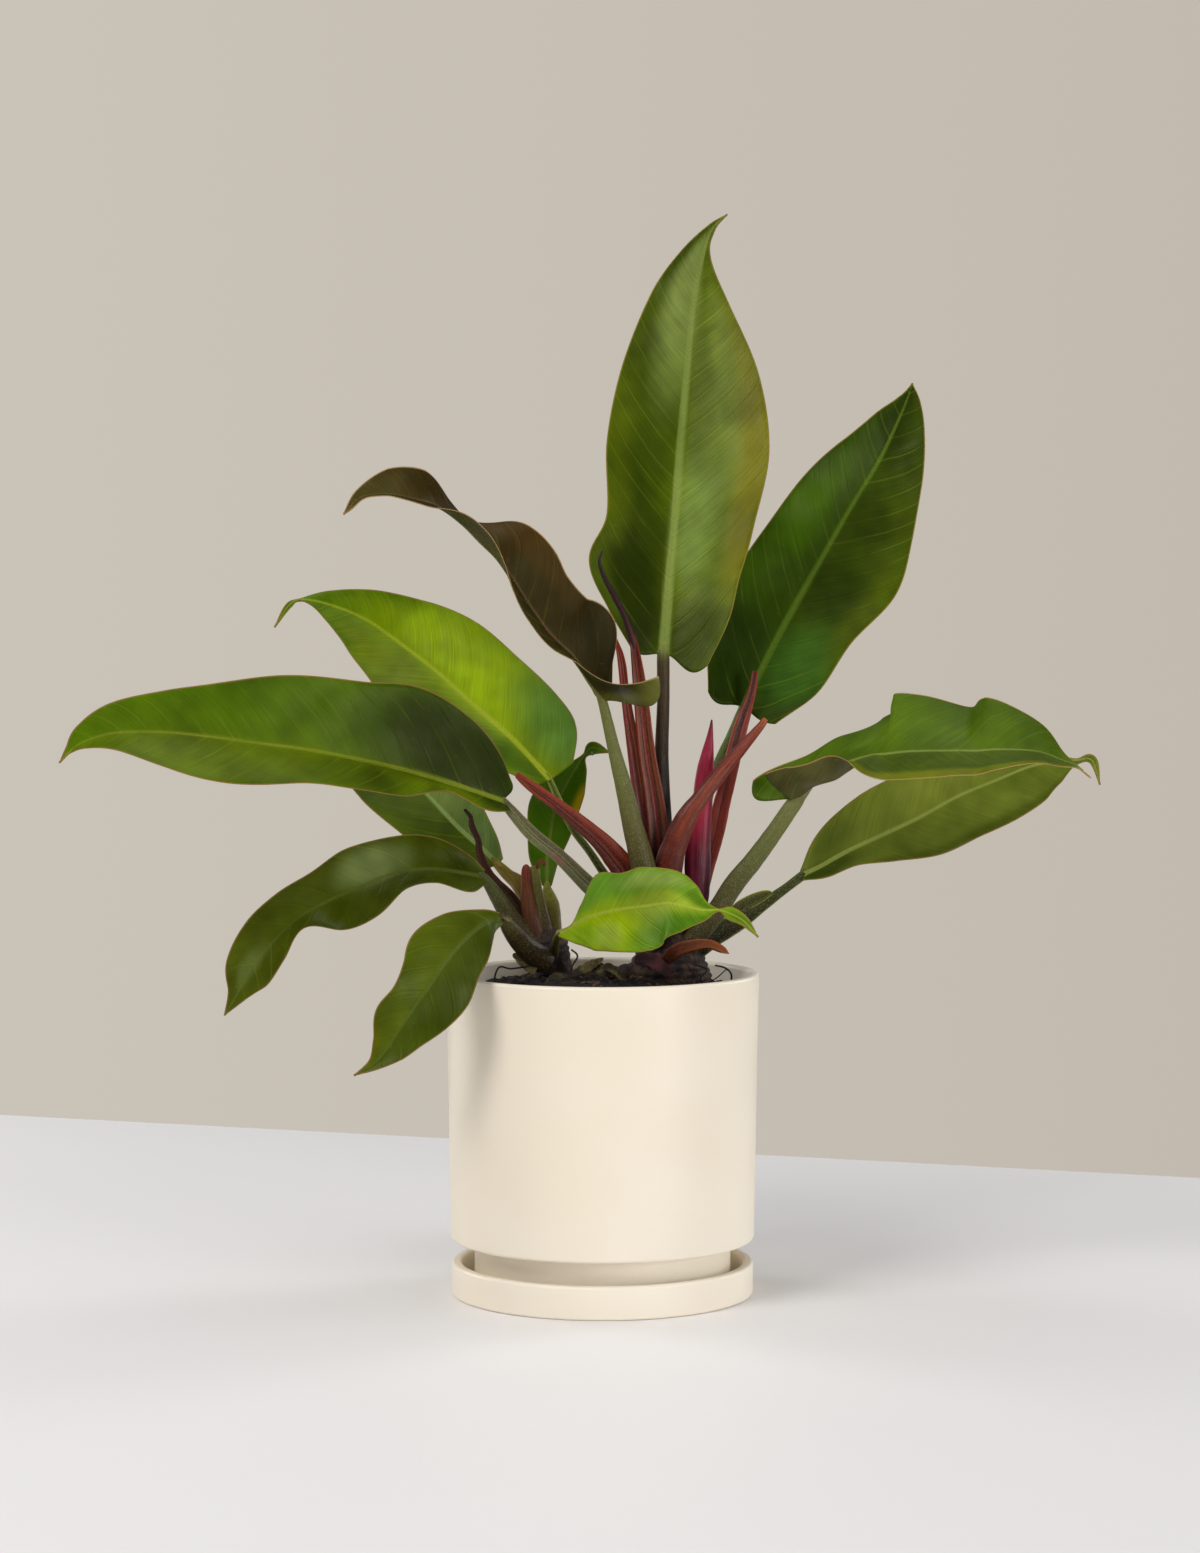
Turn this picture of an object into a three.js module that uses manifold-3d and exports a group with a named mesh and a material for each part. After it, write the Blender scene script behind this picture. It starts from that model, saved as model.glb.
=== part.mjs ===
// A potted philodendron: a cylindrical planter on its saucer, soil, two crowns,
// and the leaves, stalks and sheaths that grow from them.
// Millimetres, +Z up. The origin is the centre of the saucer's underside.
// The plant has a frame of its own, with z = 0 at the soil's level.
import * as THREE from "three";
import { mergeVertices } from "three/addons/utils/BufferGeometryUtils.js";
import Module from "manifold-3d";

const wasm = await Module();
wasm.setup();

// Planter and saucer
const POT_RIM_RADIUS = 100;
const POT_HEIGHT = 200.7;
const POT_WALL = 6;
const POT_FLOOR = 8;
const POT_DRAFT = 3; // how much narrower the body's lower edge is than its rim
const LIP_RADIUS = 2.5;
const FOOT_INSET = 15; // how far the foot is set in from the body's lower edge
const FOOT_HEIGHT = 30;
const DRAIN_RADIUS = 9;
const SAUCER_ROOM = 8; // the space around the foot inside the saucer
const SAUCER_HEIGHT = 21;
const SAUCER_WALL = 6.5;
const SAUCER_FLOOR = 5;
const SAUCER_EDGE = 2; // its rounded lip and bottom corner
// Soil
const SOIL_BELOW_RIM = 10;
const SOIL_MOUND = 5; // how far the soil rises around the crowns
// Leaves
const LEAF_THICKNESS = 1;
const MARGIN_WIDTH = 0.4; // the least half-width, at a leaf's tip
const STALK_DEPTH = 0.85; // a stalk's front-to-back size over its width
const SHEATH_DEPTH = 0.6;
// Everything that touches keeps this clearance
const GAP = 0.3;

const ROUND_STEPS = 40;
const LEAF_STEPS_ACROSS = 6;
const STEM_SIDES = 8;

const POT_FOOT_Z = SAUCER_FLOOR + GAP;
const RIM_Z = POT_FOOT_Z + POT_HEIGHT;
const SOIL_Z = RIM_Z - SOIL_BELOW_RIM;
const STEP_Z = POT_FOOT_Z + FOOT_HEIGHT;
const BODY_RADIUS = POT_RIM_RADIUS - POT_DRAFT;
const FOOT_RADIUS = BODY_RADIUS - FOOT_INSET;
const SAUCER_INNER = FOOT_RADIUS + SAUCER_ROOM;
const SAUCER_RADIUS = SAUCER_INNER + SAUCER_WALL;

// ---------------------------------------------------------------- helpers

const radians = (degrees) => (degrees * Math.PI) / 180;

function material(color, roughness, metalness = 0) {
  return new THREE.MeshStandardMaterial({ color, roughness, metalness });
}

function solidOf(geometry) {
  const bare = geometry.clone();
  bare.deleteAttribute("normal");
  bare.deleteAttribute("uv");
  const merged = mergeVertices(bare, 1e-4);
  return new wasm.Manifold(
    new wasm.Mesh({
      numProp: 3,
      vertProperties: merged.attributes.position.array,
      triVerts: new Uint32Array(merged.index.array),
    }),
  );
}

function geometryOf(solid) {
  const mesh = solid.getMesh();
  const geometry = new THREE.BufferGeometry();
  geometry.setAttribute("position", new THREE.BufferAttribute(mesh.vertProperties, 3));
  geometry.setIndex(new THREE.BufferAttribute(mesh.triVerts, 1));
  geometry.computeVertexNormals();
  return geometry;
}

// Cuts a solid back from its neighbours and keeps the largest piece.
function carve(solid, cutters) {
  let left = solid;
  for (const cutter of cutters) left = left.subtract(cutter);
  const pieces = left.decompose();
  return pieces.reduce((best, piece) => (piece.volume() > best.volume() ? piece : best));
}

// A smooth curve through rows of numbers, at t from 0 to 1, every column alike.
function along(rows, t) {
  const last = rows.length - 1;
  const x = THREE.MathUtils.clamp(t, 0, 1) * last;
  const i = Math.min(Math.floor(x), last - 1);
  const f = x - i;
  const row = (k) => {
    if (k < 0) return rows[0].map((v, c) => 2 * v - rows[1][c]);
    if (k > last) return rows[last].map((v, c) => 2 * v - rows[last - 1][c]);
    return rows[k];
  };
  const [a, b, c, d] = [row(i - 1), row(i), row(i + 1), row(i + 2)];
  return b.map((v, n) => {
    const bend = 2 * a[n] - 5 * v + 4 * c[n] - d[n] + f * (3 * (v - c[n]) + d[n] - a[n]);
    return v + 0.5 * f * (c[n] - a[n] + f * bend);
  });
}

// The direction of travel at t, and the two directions square to it:
// across, which lies in the X-Z plane, and front, which leans to -Y.
function frameAt(rows, t) {
  const step = 1e-3;
  const from = along(rows, Math.max(t - step, 0));
  const to = along(rows, Math.min(t + step, 1));
  const ahead = new THREE.Vector3(to[0] - from[0], to[1] - from[1], to[2] - from[2]).normalize();
  const across = new THREE.Vector3(0, 1, 0).cross(ahead).normalize();
  const front = across.clone().cross(ahead);
  return { ahead, across, front };
}

// A closed skin over rings of points. Each ring runs along one face of the piece
// and back along the other, so its ends are closed by rungs between the two.
function skin(rings) {
  const size = rings[0].length;
  const half = size / 2;
  const points = rings.flat();
  const index = [];
  const quad = (a, b, c, d) => index.push(a, b, c, a, c, d);
  for (let r = 0; r < rings.length - 1; r++) {
    for (let i = 0; i < size; i++) {
      const j = (i + 1) % size;
      quad(r * size + i, r * size + j, (r + 1) * size + j, (r + 1) * size + i);
    }
  }
  const end = (rings.length - 1) * size;
  for (let i = 0; i < half - 1; i++) {
    quad(i, size - 1 - i, size - 2 - i, i + 1);
    quad(end + i, end + i + 1, end + size - 2 - i, end + size - 1 - i);
  }
  const geometry = new THREE.BufferGeometry().setFromPoints(points);
  geometry.setIndex(index);
  return geometry;
}

// A stem, sheath, root or crown: an oval section carried along a curve.
// Each row of its route is x, y, z and the section's width there.
function stem(route, { depth = STALK_DEPTH, steps = 10, sides = STEM_SIDES, grow = 0 } = {}) {
  const rings = [];
  for (let k = 0; k <= steps; k++) {
    const t = k / steps;
    const [x, y, z, width] = along(route, t);
    const { ahead, across, front } = frameAt(route, t);
    const middle = new THREE.Vector3(x, y, z);
    if (k === 0) middle.addScaledVector(ahead, -grow);
    if (k === steps) middle.addScaledVector(ahead, grow);
    const ring = [];
    for (let i = 0; i < sides; i++) {
      const angle = Math.PI * (1 - (2 * i + 1) / sides);
      ring.push(
        middle
          .clone()
          .addScaledVector(across, (width / 2 + grow) * Math.cos(angle))
          .addScaledVector(front, ((width * depth) / 2 + grow) * Math.sin(angle)),
      );
    }
    rings.push(ring);
  }
  return solidOf(skin(rings));
}

// One point of a leaf's middle surface. t runs from its base to its tip and s from
// its left margin, -1, over the rib, 0, to its right margin, 1. Each half is an arc:
// it leaves the rib at its fold angle and bends by its curl on the way to the margin.
// Towards the base the halves sweep back in lobes, and the margins wave a little.
function leafPoint(leaf, rows, t, s) {
  const [x, y, z, left, right, roll, leftFold, rightFold, leftCurl, rightCurl] = along(rows, t);
  const { ahead, across, front } = frameAt(rows, t);
  const turn = radians(roll);
  const side = across.clone().multiplyScalar(Math.cos(turn)).addScaledVector(front, Math.sin(turn));
  const face = front.clone().multiplyScalar(Math.cos(turn)).addScaledVector(across, -Math.sin(turn));
  const onRight = s >= 0;
  const reach = Math.abs(s);
  const width = Math.max(onRight ? right : left, MARGIN_WIDTH);
  const bend = (radians(onRight ? rightCurl : leftCurl) * reach) / 2;
  const angle = radians(onRight ? rightFold : leftFold) + bend;
  const chord = width * reach * (bend === 0 ? 1 : Math.sin(bend) / bend);
  const point = new THREE.Vector3(x, y, z)
    .addScaledVector(side, chord * Math.cos(angle) * (onRight ? 1 : -1))
    .addScaledVector(face, chord * Math.sin(angle));
  const fade = Math.max(1 - t / leaf.lobeSpan, 0) ** 2;
  const lobe = leaf.lobes[onRight ? 1 : 0] * Math.sin((Math.PI * reach) / 1.4) ** 2;
  point.addScaledVector(ahead, -lobe * fade);
  const [height, waves, start] = leaf.ruffle;
  const phase = 2 * Math.PI * waves * t + radians(start) + (onRight ? 0 : 2.1);
  point.addScaledVector(face, height * Math.sin(phase) * reach ** 2 * Math.sin(Math.PI * t) ** 0.7);
  return point;
}

// A leaf blade: its middle surface given a thickness along its normals.
function blade(leaf, grow = 0) {
  const pick = (value, i) => (Array.isArray(value) ? value[i] : value);
  const rows = leaf.rib.map((place, i) => [
    ...place,
    leaf.left[i],
    leaf.right[i],
    ...["roll", "leftFold", "rightFold", "leftCurl", "rightCurl"].map((key) => pick(leaf[key], i)),
  ]);
  const reach = 1 + grow / 20;
  const rings = [];
  for (let k = 0; k <= leaf.steps; k++) {
    const t = k / leaf.steps;
    const upper = [];
    const lower = [];
    for (let j = 0; j <= LEAF_STEPS_ACROSS; j++) {
      const s = reach * ((2 * j) / LEAF_STEPS_ACROSS - 1);
      const point = leafPoint(leaf, rows, t, s);
      const d = 0.02;
      const ahead = leafPoint(leaf, rows, Math.min(t + d, 1), s).sub(
        leafPoint(leaf, rows, Math.max(t - d, 0), s),
      );
      const across = leafPoint(leaf, rows, t, s + d).sub(leafPoint(leaf, rows, t, s - d));
      const normal = across.cross(ahead).normalize();
      if (k === 0) point.addScaledVector(frameAt(rows, 0).ahead, -grow);
      const lift = LEAF_THICKNESS / 2 + grow;
      upper.push(point.clone().addScaledVector(normal, lift));
      lower.unshift(point.clone().addScaledVector(normal, -lift));
    }
    rings.push([...upper, ...lower]);
  }
  return solidOf(skin(rings));
}

// A round body from its profile of radius and height, turned about the Z axis.
function turned(profile) {
  const outline = profile.map(([r, z]) => new THREE.Vector2(r, z));
  return new THREE.LatheGeometry(outline, ROUND_STEPS).rotateX(Math.PI / 2);
}

// ---------------------------------------------------------------- planter

function pot() {
  const low = BODY_RADIUS;
  const inner = POT_RIM_RADIUS - POT_WALL;
  const floor = POT_FOOT_Z + POT_FLOOR;
  const round = LIP_RADIUS * 0.3;
  const profile = [
    [DRAIN_RADIUS, POT_FOOT_Z],
    [FOOT_RADIUS - 1, POT_FOOT_Z],
    [FOOT_RADIUS, POT_FOOT_Z + 1],
    [FOOT_RADIUS, STEP_Z],
    [low - LIP_RADIUS, STEP_Z],
    [low - round, STEP_Z + round],
    [low, STEP_Z + LIP_RADIUS],
    [POT_RIM_RADIUS, RIM_Z - LIP_RADIUS],
    [POT_RIM_RADIUS - round, RIM_Z - round],
    [POT_RIM_RADIUS - LIP_RADIUS, RIM_Z],
    [inner + LIP_RADIUS, RIM_Z],
    [inner + round, RIM_Z - round],
    [inner, RIM_Z - LIP_RADIUS],
    [inner - POT_DRAFT, STEP_Z + POT_WALL],
    [FOOT_RADIUS - POT_WALL, STEP_Z + POT_WALL],
    [FOOT_RADIUS - POT_WALL, floor],
    [DRAIN_RADIUS, floor],
    [DRAIN_RADIUS, POT_FOOT_Z],
  ];
  return turned(profile);
}

function saucer() {
  const inner = SAUCER_INNER;
  const round = SAUCER_EDGE * 0.3;
  const profile = [
    [0, 0],
    [SAUCER_RADIUS - SAUCER_EDGE, 0],
    [SAUCER_RADIUS - round, round],
    [SAUCER_RADIUS, SAUCER_EDGE],
    [SAUCER_RADIUS, SAUCER_HEIGHT - SAUCER_EDGE],
    [SAUCER_RADIUS - round, SAUCER_HEIGHT - round],
    [SAUCER_RADIUS - SAUCER_EDGE, SAUCER_HEIGHT],
    [inner + SAUCER_EDGE, SAUCER_HEIGHT],
    [inner, SAUCER_HEIGHT - SAUCER_EDGE],
    [inner, SAUCER_FLOOR],
    [0, SAUCER_FLOOR],
  ];
  return turned(profile);
}

// Soil fills the planter, in the plant's frame, and rises a little around the crowns.
function soil() {
  const inner = POT_RIM_RADIUS - POT_WALL - GAP;
  const share = (SOIL_Z - STEP_Z) / (RIM_Z - STEP_Z);
  const top = inner - POT_DRAFT * (1 - share);
  const floor = POT_FOOT_Z + POT_FLOOR + GAP - SOIL_Z;
  const ledge = STEP_Z + POT_WALL + GAP - SOIL_Z;
  const profile = [
    [0, floor],
    [FOOT_RADIUS - POT_WALL - GAP, floor],
    [FOOT_RADIUS - POT_WALL - GAP, ledge],
    [inner - POT_DRAFT, ledge],
    [top, -2],
    [top - 12, 0],
    [top - 34, SOIL_MOUND * 0.6],
    [top - 60, SOIL_MOUND],
    [0, SOIL_MOUND],
  ];
  return turned(profile);
}

// ---------------------------------------------------------------- the plant

// The leaf that hangs over the rim is laid out from the rim itself:
// how far out from it, at what angle around it, and how far above it.
function overRim(out, degrees, rise) {
  const r = POT_RIM_RADIUS + out;
  const turn = radians(degrees);
  return [r * Math.cos(turn), r * Math.sin(turn), SOIL_BELOW_RIM + rise];
}

// Rows of x, y, z along each rib from base to tip, the half-widths to the left and
// right of it, and the angles in degrees: the roll of the whole leaf about its rib,
// and each half's fold and curl, as one number or one for each row.
const FLAT = { roll: 0, leftFold: 15, rightFold: 12, leftCurl: 0, rightCurl: 0 };
const PLAIN = { ...FLAT, lobes: [0, 0], lobeSpan: 0.2, ruffle: [2, 2, 0], steps: 12 };

const LEAVES = {
  tall_centre: {
    ...PLAIN,
    rib: [
      [39, 16, 213], [41, 22, 237], [43, 30, 263], [46, 40, 293], [50, 56, 342], [55, 68, 395],
      [60, 74, 444], [66, 72, 474], [72, 66, 490], [81, 56, 498],
    ],
    left: [21, 41, 56, 47, 51, 45, 30, 15, 4, 0],
    right: [30, 42, 47, 53, 60, 49, 24, 5, 2, 0],
    leftFold: 17, rightFold: 13, leftCurl: 8, rightCurl: 8,
    lobes: [3, 12], ruffle: [2, 2.5, 20], steps: 18,
  },
  right_upper: {
    ...PLAIN,
    rib: [
      [91, 40, 178], [104, 54, 203], [123, 72, 238], [145, 90, 275], [165, 104, 309],
      [184, 112, 340], [197, 112, 367], [203, 108, 382], [206, 102, 392],
    ],
    left: [26, 43, 47, 44, 39, 29, 16, 6, 0],
    right: [24, 40, 45, 55, 47, 33, 20, 10, 0],
    leftFold: 16, rightFold: 9, rightCurl: 8,
    lobes: [8, 4], ruffle: [2, 2.5, 200], steps: 16,
  },
  twisted_bronze: {
    ...PLAIN,
    rib: [
      [0, -20, 183], [-8, -25, 195], [-19, -32, 211], [-33, -40, 225], [-46, -48, 243],
      [-56, -54, 259], [-65, -58, 272], [-76, -60, 283], [-87, -60, 294], [-101, -58, 304],
      [-117, -56, 309], [-134, -54, 312], [-150, -52, 310], [-161, -52, 300],
    ],
    left: [45, 32, 25, 26, 27, 26, 25, 24, 21, 19, 16, 11, 5, 0],
    right: [8, 20, 37, 33, 31, 33, 31, 27, 24, 21, 21, 17, 6, 0],
    leftFold: [150, 115, 93, 82, 80, 84, 95, 108, 106, 84, 84, 84, 70, 0],
    rightFold: [-20, -20, -15, -10, -12, -15, -22, -53, -78, -70, -22, -15, -10, 0],
    lobes: [16, 0], lobeSpan: 0.12, ruffle: [0, 2, 0], steps: 20,
  },
  bright_left: {
    ...PLAIN,
    rib: [
      [-34, 28, 131], [-46, 36, 144], [-62, 46, 160], [-87, 62, 181], [-110, 76, 201],
      [-134, 86, 219], [-157, 90, 235], [-182, 90, 245], [-199, 86, 248], [-207, 82, 244],
      [-216, 76, 230],
    ],
    left: [12, 23, 37, 49, 49, 39, 29, 13, 2, 3, 0],
    right: [19, 37, 43, 45, 43, 34, 22, 11, 2, 2, 0],
    roll: -30, leftFold: 16, rightFold: 12, rightCurl: 6,
    ruffle: [3, 2, 90], steps: 16,
  },
  long_left: {
    ...PLAIN,
    rib: [
      [-63, -24, 120], [-76, -32, 125], [-98, -44, 133], [-126, -60, 142], [-154, -74, 149],
      [-182, -86, 155], [-210, -96, 159], [-237, -104, 163], [-265, -110, 166], [-293, -114, 166],
      [-312, -115, 161], [-322, -114, 155], [-329, -112, 148],
    ],
    left: [8, 13, 7, 24, 30, 33, 38, 40, 34, 20, 8, 1, 0],
    right: [13, 29, 44, 53, 49, 45, 40, 33, 27, 20, 11, 3, 0],
    roll: -30, leftFold: 25, rightFold: 22, rightCurl: 5,
    lobes: [4, 4], ruffle: [3, 2.5, 0], steps: 18,
  },
  hidden_back: {
    ...PLAIN,
    rib: [
      [-68, 26, 77], [-78, 36, 86], [-93, 50, 98], [-109, 68, 113], [-126, 86, 129],
      [-144, 102, 147], [-162, 112, 163], [-176, 118, 175], [-184, 120, 183],
    ],
    left: [6, 19, 31, 37, 40, 37, 24, 8, 0],
    right: [5, 13, 21, 26, 28, 27, 18, 7, 0],
    roll: -20, leftFold: 18, rightFold: 14,
  },
  drooping_left: {
    ...PLAIN,
    rib: [
      [-76, 2, 70], [-89, -4, 73], [-110, -12, 76], [-131, -20, 74], [-153, -28, 66],
      [-174, -34, 57], [-192, -38, 46], [-208, -40, 31], [-222, -40, 14], [-230, -38, -1],
      [-238, -36, -14],
    ],
    left: [6, 19, 20, 21, 26, 24, 15, 16, 15, 6, 0],
    right: [5, 14, 22, 24, 26, 21, 21, 21, 16, 6, 0],
    roll: [-30, -30, -30, -28, -25, -20, -15, -10, -5, 0, 0],
    leftFold: [20, 30, 40, 35, 15, 15, 50, 30, 15, 10, 0],
    rightFold: 12, rightCurl: 5, ruffle: [0, 3, 0], steps: 18,
  },
  drooping_front: {
    ...PLAIN,
    rib: [
      overRim(-28, 208, 37), overRim(-11, 214, 35), overRim(8, 217.5, 26), overRim(24, 219, 14),
      overRim(36, 219.3, 1), overRim(46.5, 219, -11), overRim(56, 218, -24),
      overRim(64, 216.8, -37), overRim(71.5, 215.3, -47), overRim(81, 212.8, -54),
    ],
    left: [3, 10, 19, 23, 27, 25, 19, 12, 4, 0],
    right: [3, 9, 21, 27, 22, 18, 19, 11, 4, 0],
    roll: -4, leftFold: 15, rightFold: 15, ruffle: [2, 2, 60], steps: 14,
  },
  small_upright: {
    ...PLAIN,
    rib: [
      [-36, 34, 62], [-36, 42, 71], [-36, 50, 81], [-34, 60, 95], [-31, 68, 111], [-24, 72, 126],
      [-17, 72, 138], [-12, 70, 146], [-6, 66, 151], [5, 62, 148],
    ],
    left: [3, 9, 13, 16, 18, 13, 6, 1, 4, 0],
    right: [3, 6, 10, 14, 16, 14, 8, 2, 5, 0],
    leftFold: 18, rightFold: 18, ruffle: [1.5, 1.5, 0],
  },
  folded_right: {
    ...PLAIN,
    rib: [
      [122, -14, 119], [133, -18, 130], [148, -26, 142], [167, -36, 149], [176, -41, 150],
      [192, -48, 152], [219, -60, 153], [232, -64, 153], [246, -68, 154], [268, -72, 153],
      [283, -72, 148], [293, -70, 144], [302, -66, 137],
    ],
    left: [29, 32, 39, 44, 46, 46, 43, 42, 37, 25, 10, 2, 0],
    right: [29, 32, 37, 39, 40, 41, 38, 36, 32, 21, 9, 2, 0],
    roll: 60,
    leftFold: [45, -1, -10, -4, 20, 18, 8, 20, 21, 15, 8, 0, 0],
    rightFold: [70, 20, -26, 14, 8, 9, 8, 9, 10, 12, 5, 0, 0],
    rightCurl: [85, 125, 165, 45, 20, 0, 0, 0, 0, 0, 0, 0, 0],
    lobes: [18, 0], lobeSpan: 0.12, ruffle: [0, 3, 0], steps: 20,
  },
  lower_right: {
    ...PLAIN,
    rib: [
      [130, 10, 72], [141, 14, 77], [159, 24, 86], [181, 36, 95], [207, 50, 106], [233, 62, 119],
      [259, 72, 129], [283, 80, 138], [300, 84, 141], [314, 86, 142], [324, 84, 142],
      [329, 80, 126],
    ],
    left: [4, 15, 24, 30, 31, 30, 24, 15, 6, 1, 3, 0],
    right: [4, 9, 12, 20, 29, 31, 30, 25, 15, 3, 2, 0],
    roll: 14, leftFold: 12, rightFold: 9, lobes: [2, 4], steps: 16,
  },
  front_small: {
    ...PLAIN,
    rib: [
      [-28, -32, 37], [-19, -42, 43], [-9, -52, 49], [2, -60, 53], [15, -68, 56], [27, -74, 58],
      [40, -78, 60], [52, -80, 58], [62, -81, 56], [71, -81, 56], [78, -80, 54], [87, -79, 49],
      [96, -77, 39],
    ],
    left: [3, 3, 11, 24, 22, 24, 21, 16, 7, 1, 4, 3, 0],
    right: [2, 12, 21, 25, 28, 29, 25, 17, 8, 1, 4, 3, 0],
    roll: 14, leftFold: 11, rightFold: 9, rightCurl: 4, ruffle: [0.6, 2, 0], steps: 16,
  },
};

// Each stalk runs from its leaf's base down into a crown: the rows below the first,
// with the width of the stalk at its top.
const STALKS = {
  tall_centre: {
    top: 8, rest: [
      [39, 14, 183, 8], [38, 12, 145, 9], [40, 11, 100, 10], [43, 10, 62, 11], [46, 10, 26, 12],
    ],
  },
  right_upper: {
    top: 5, rest: [
      [83, 38, 160, 5], [74, 36, 139, 6], [65, 31, 105, 6], [58, 25, 73, 8], [51, 17, 30, 9],
    ],
  },
  twisted_bronze: {
    top: 6, rest: [
      [7, -20, 154, 8], [14, -19, 127, 11], [19, -16, 105, 13], [26, -12, 77, 16],
      [34, -3, 30, 17],
    ],
  },
  bright_left: {
    top: 4, rest: [
      [-21, 25, 103, 5], [-8, 22, 85, 5], [6, 18, 64, 6], [31, 12, 27, 8],
    ],
  },
  long_left: {
    top: 6, rest: [
      [-45, -24, 100, 9], [-27, -22, 85, 9], [-8, -18, 66, 11], [12, -12, 48, 11],
      [34, -3, 24, 13],
    ],
  },
  hidden_back: {
    top: 6, rest: [
      [-61, 26, 70, 8], [-53, 25, 63, 11], [-44, 23, 46, 11], [-35, 19, 22, 10],
    ],
  },
  drooping_left: {
    top: 6, rest: [
      [-67, 4, 57, 10], [-59, 8, 44, 12], [-48, 11, 31, 13], [-36, 15, 17, 13],
    ],
  },
  drooping_front: { top: 6, rest: [[-58, -26, 39, 11], [-50, -14, 28, 15], [-37, 4, 16, 18]] },
  small_upright: { top: 5, rest: [[-35, 32, 53, 12], [-33, 30, 44, 12], [-30, 22, 22, 9]] },
  folded_right: {
    top: 10, rest: [
      [109, -13, 100, 11], [96, -11, 82, 12], [84, -8, 67, 13], [72, -3, 48, 13],
      [52, 4, 22, 14],
    ],
  },
  lower_right: {
    top: 6, rest: [
      [117, 11, 62, 6], [103, 11, 52, 8], [87, 11, 41, 12], [70, 11, 31, 14], [52, 11, 17, 14],
    ],
  },
  front_small: { top: 3, rest: [[-29, -24, 34, 4], [-30, -12, 29, 5], [-31, 6, 20, 6]] },
};
// A thin wing stands along the lower right stalk's upper side.
const STALK_WING = [
  [80, 10, 44, 6], [89, 10, 51, 8], [99, 10, 56, 8], [106, 10, 59, 5], [110, 10, 59, 1],
];

// Sheaths, buds and stubs that no leaf sits on.
const SHEATHS = {
  sheath_left: [
    [-55, -10, 137, 4], [-45, -11, 129, 7], [-31, -12, 119, 8], [-17, -12, 108, 10],
    [-3, -11, 96, 12], [7, -9, 85, 15], [18, -6, 69, 17], [32, 3, 32, 15],
  ],
  sheath_right_front: [
    [104, 4, 172, 4], [101, 3, 167, 5], [87, 0, 151, 8], [73, -6, 135, 10], [62, -9, 121, 11],
    [53, -10, 108, 14], [46, -9, 92, 16], [42, -7, 76, 18], [39, 2, 34, 16],
  ],
  bud_crimson: [
    [70, 10, 171, 1], [69, 10, 161, 4], [66, 10, 139, 11], [64, 9, 117, 13], [62, 8, 95, 15],
    [61, 7, 80, 17], [61, 6, 66, 16], [61, 6, 52, 13], [57, 6, 26, 12],
  ],
  sheath_centre: [
    [19, 0.5, 226, 3], [20, 0, 219, 6], [24, 0, 190, 9], [28, 0, 152, 11], [34, 0, 113, 13], [37, 1, 78, 14],
    [41, 5, 30, 14],
  ],
  sheath_centre_left: [
    [8, 4, 224, 2], [12, 3, 209, 5], [15, 3, 184, 6], [21, 3, 145, 9], [27, 2, 101, 11], [35, 5, 34, 13],
  ],
  spear_dark: [
    [0, 0, 279, 1], [-2, 0, 272, 2], [1, 0, 262, 3], [8, 0, 249, 4], [14, 0, 237, 4],
    [19, 0, 222, 5],
  ],
  sheath_right_back: [
    [99, 34, 202, 4], [96, 32, 186, 6], [90, 30, 168, 9], [86, 28, 153, 10], [81, 26, 131, 10],
    [77, 25, 116, 11], [73, 24, 97, 11], [65, 20, 67, 10], [56, 13, 26, 9],
  ],
  sheath_low_orange: [
    [40, -20, 18, 7], [46, -24, 25, 9], [57, -26, 29, 8], [67, -27, 30, 6], [75, -28, 27, 5],
    [80, -28, 24, 1],
  ],
  stub_cut: [
    [-47, 12, 78, 10], [-47, 12, 68, 14], [-46, 12, 55, 16], [-43, 12, 39, 19], [-38, 14, 20, 20],
  ],
  sheath_twisted_brown: [
    [-89, 20, 113, 2], [-85, 20, 108, 3], [-84, 19, 102, 4], [-80, 18, 93, 4], [-79, 17, 85, 5],
    [-74, 15, 73, 6], [-68, 13, 66, 6], [-59, 12, 57, 7], [-50, 12, 43, 8],
  ],
};

// Crowns, the runner between them and what lies on the soil.
const CROWNS = {
  crown_main: [
    [43, 12, -18, 40], [43, 12, 0, 54], [43, 11, 12, 50], [44, 10, 24, 40], [45, 9, 33, 26],
    [45, 9, 38, 12],
  ],
  crown_side: [
    [-31, 18, -16, 22], [-31, 18, 0, 27], [-32, 17, 12, 24], [-35, 16, 24, 26],
    [-37, 15, 33, 20], [-38, 14, 40, 10],
  ],
};
const RUNNER = [[-12, 14, 2, 8], [2, 10, 6, 9], [11, 8, 8, 10], [24, 9, 10, 12]];
const LITTER = {
  scale_brown: [[-57, -6, 22, 3], [-50, -5, 16, 6], [-43, -4, 10, 6]],
  husk_dry: [[-22, -8, 9, 3], [-14, -8, 14, 6], [-5, -8, 17, 8], [1, -8, 16, 6], [7, -8, 11, 3]],
  flake_pink: [
    [...overRim(-19, 203, 40), 1], [...overRim(-25, 209, 40), 3], [...overRim(-31, 214, 36), 3],
  ],
};
const ROOTS = [
  [[-20, 2, 24], [-16, -2, 20], [-20, -6, 12], [-18, -8, 3]],
  [[-46, -4, 14], [-58, -12, 13], [-66, -16, 14], [-70, -18, 2]],
  [[58, -24, 17], [66, -28, 14], [62, -32, 9], [66, -34, 1]],
  [[72, 0, 14], [78, -6, 13], [82, -10, 9], [81, -12, 0]],
];
const ROOT_DIAMETER = 1.4;

// ---------------------------------------------------------------- assembly

const LEAF = material("#4f7a1e", 0.4);
const BRONZE = material("#4a3720", 0.45);
const STALK = material("#6d7340", 0.55);
const SHEATH = material("#8a3a2c", 0.5);
const BUD = material("#96203a", 0.4);
const HUSK = material("#4a3022", 0.9);
const CERAMIC = material("#ecdfc8", 0.35);
const EARTH = material("#1d1512", 1);

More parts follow.
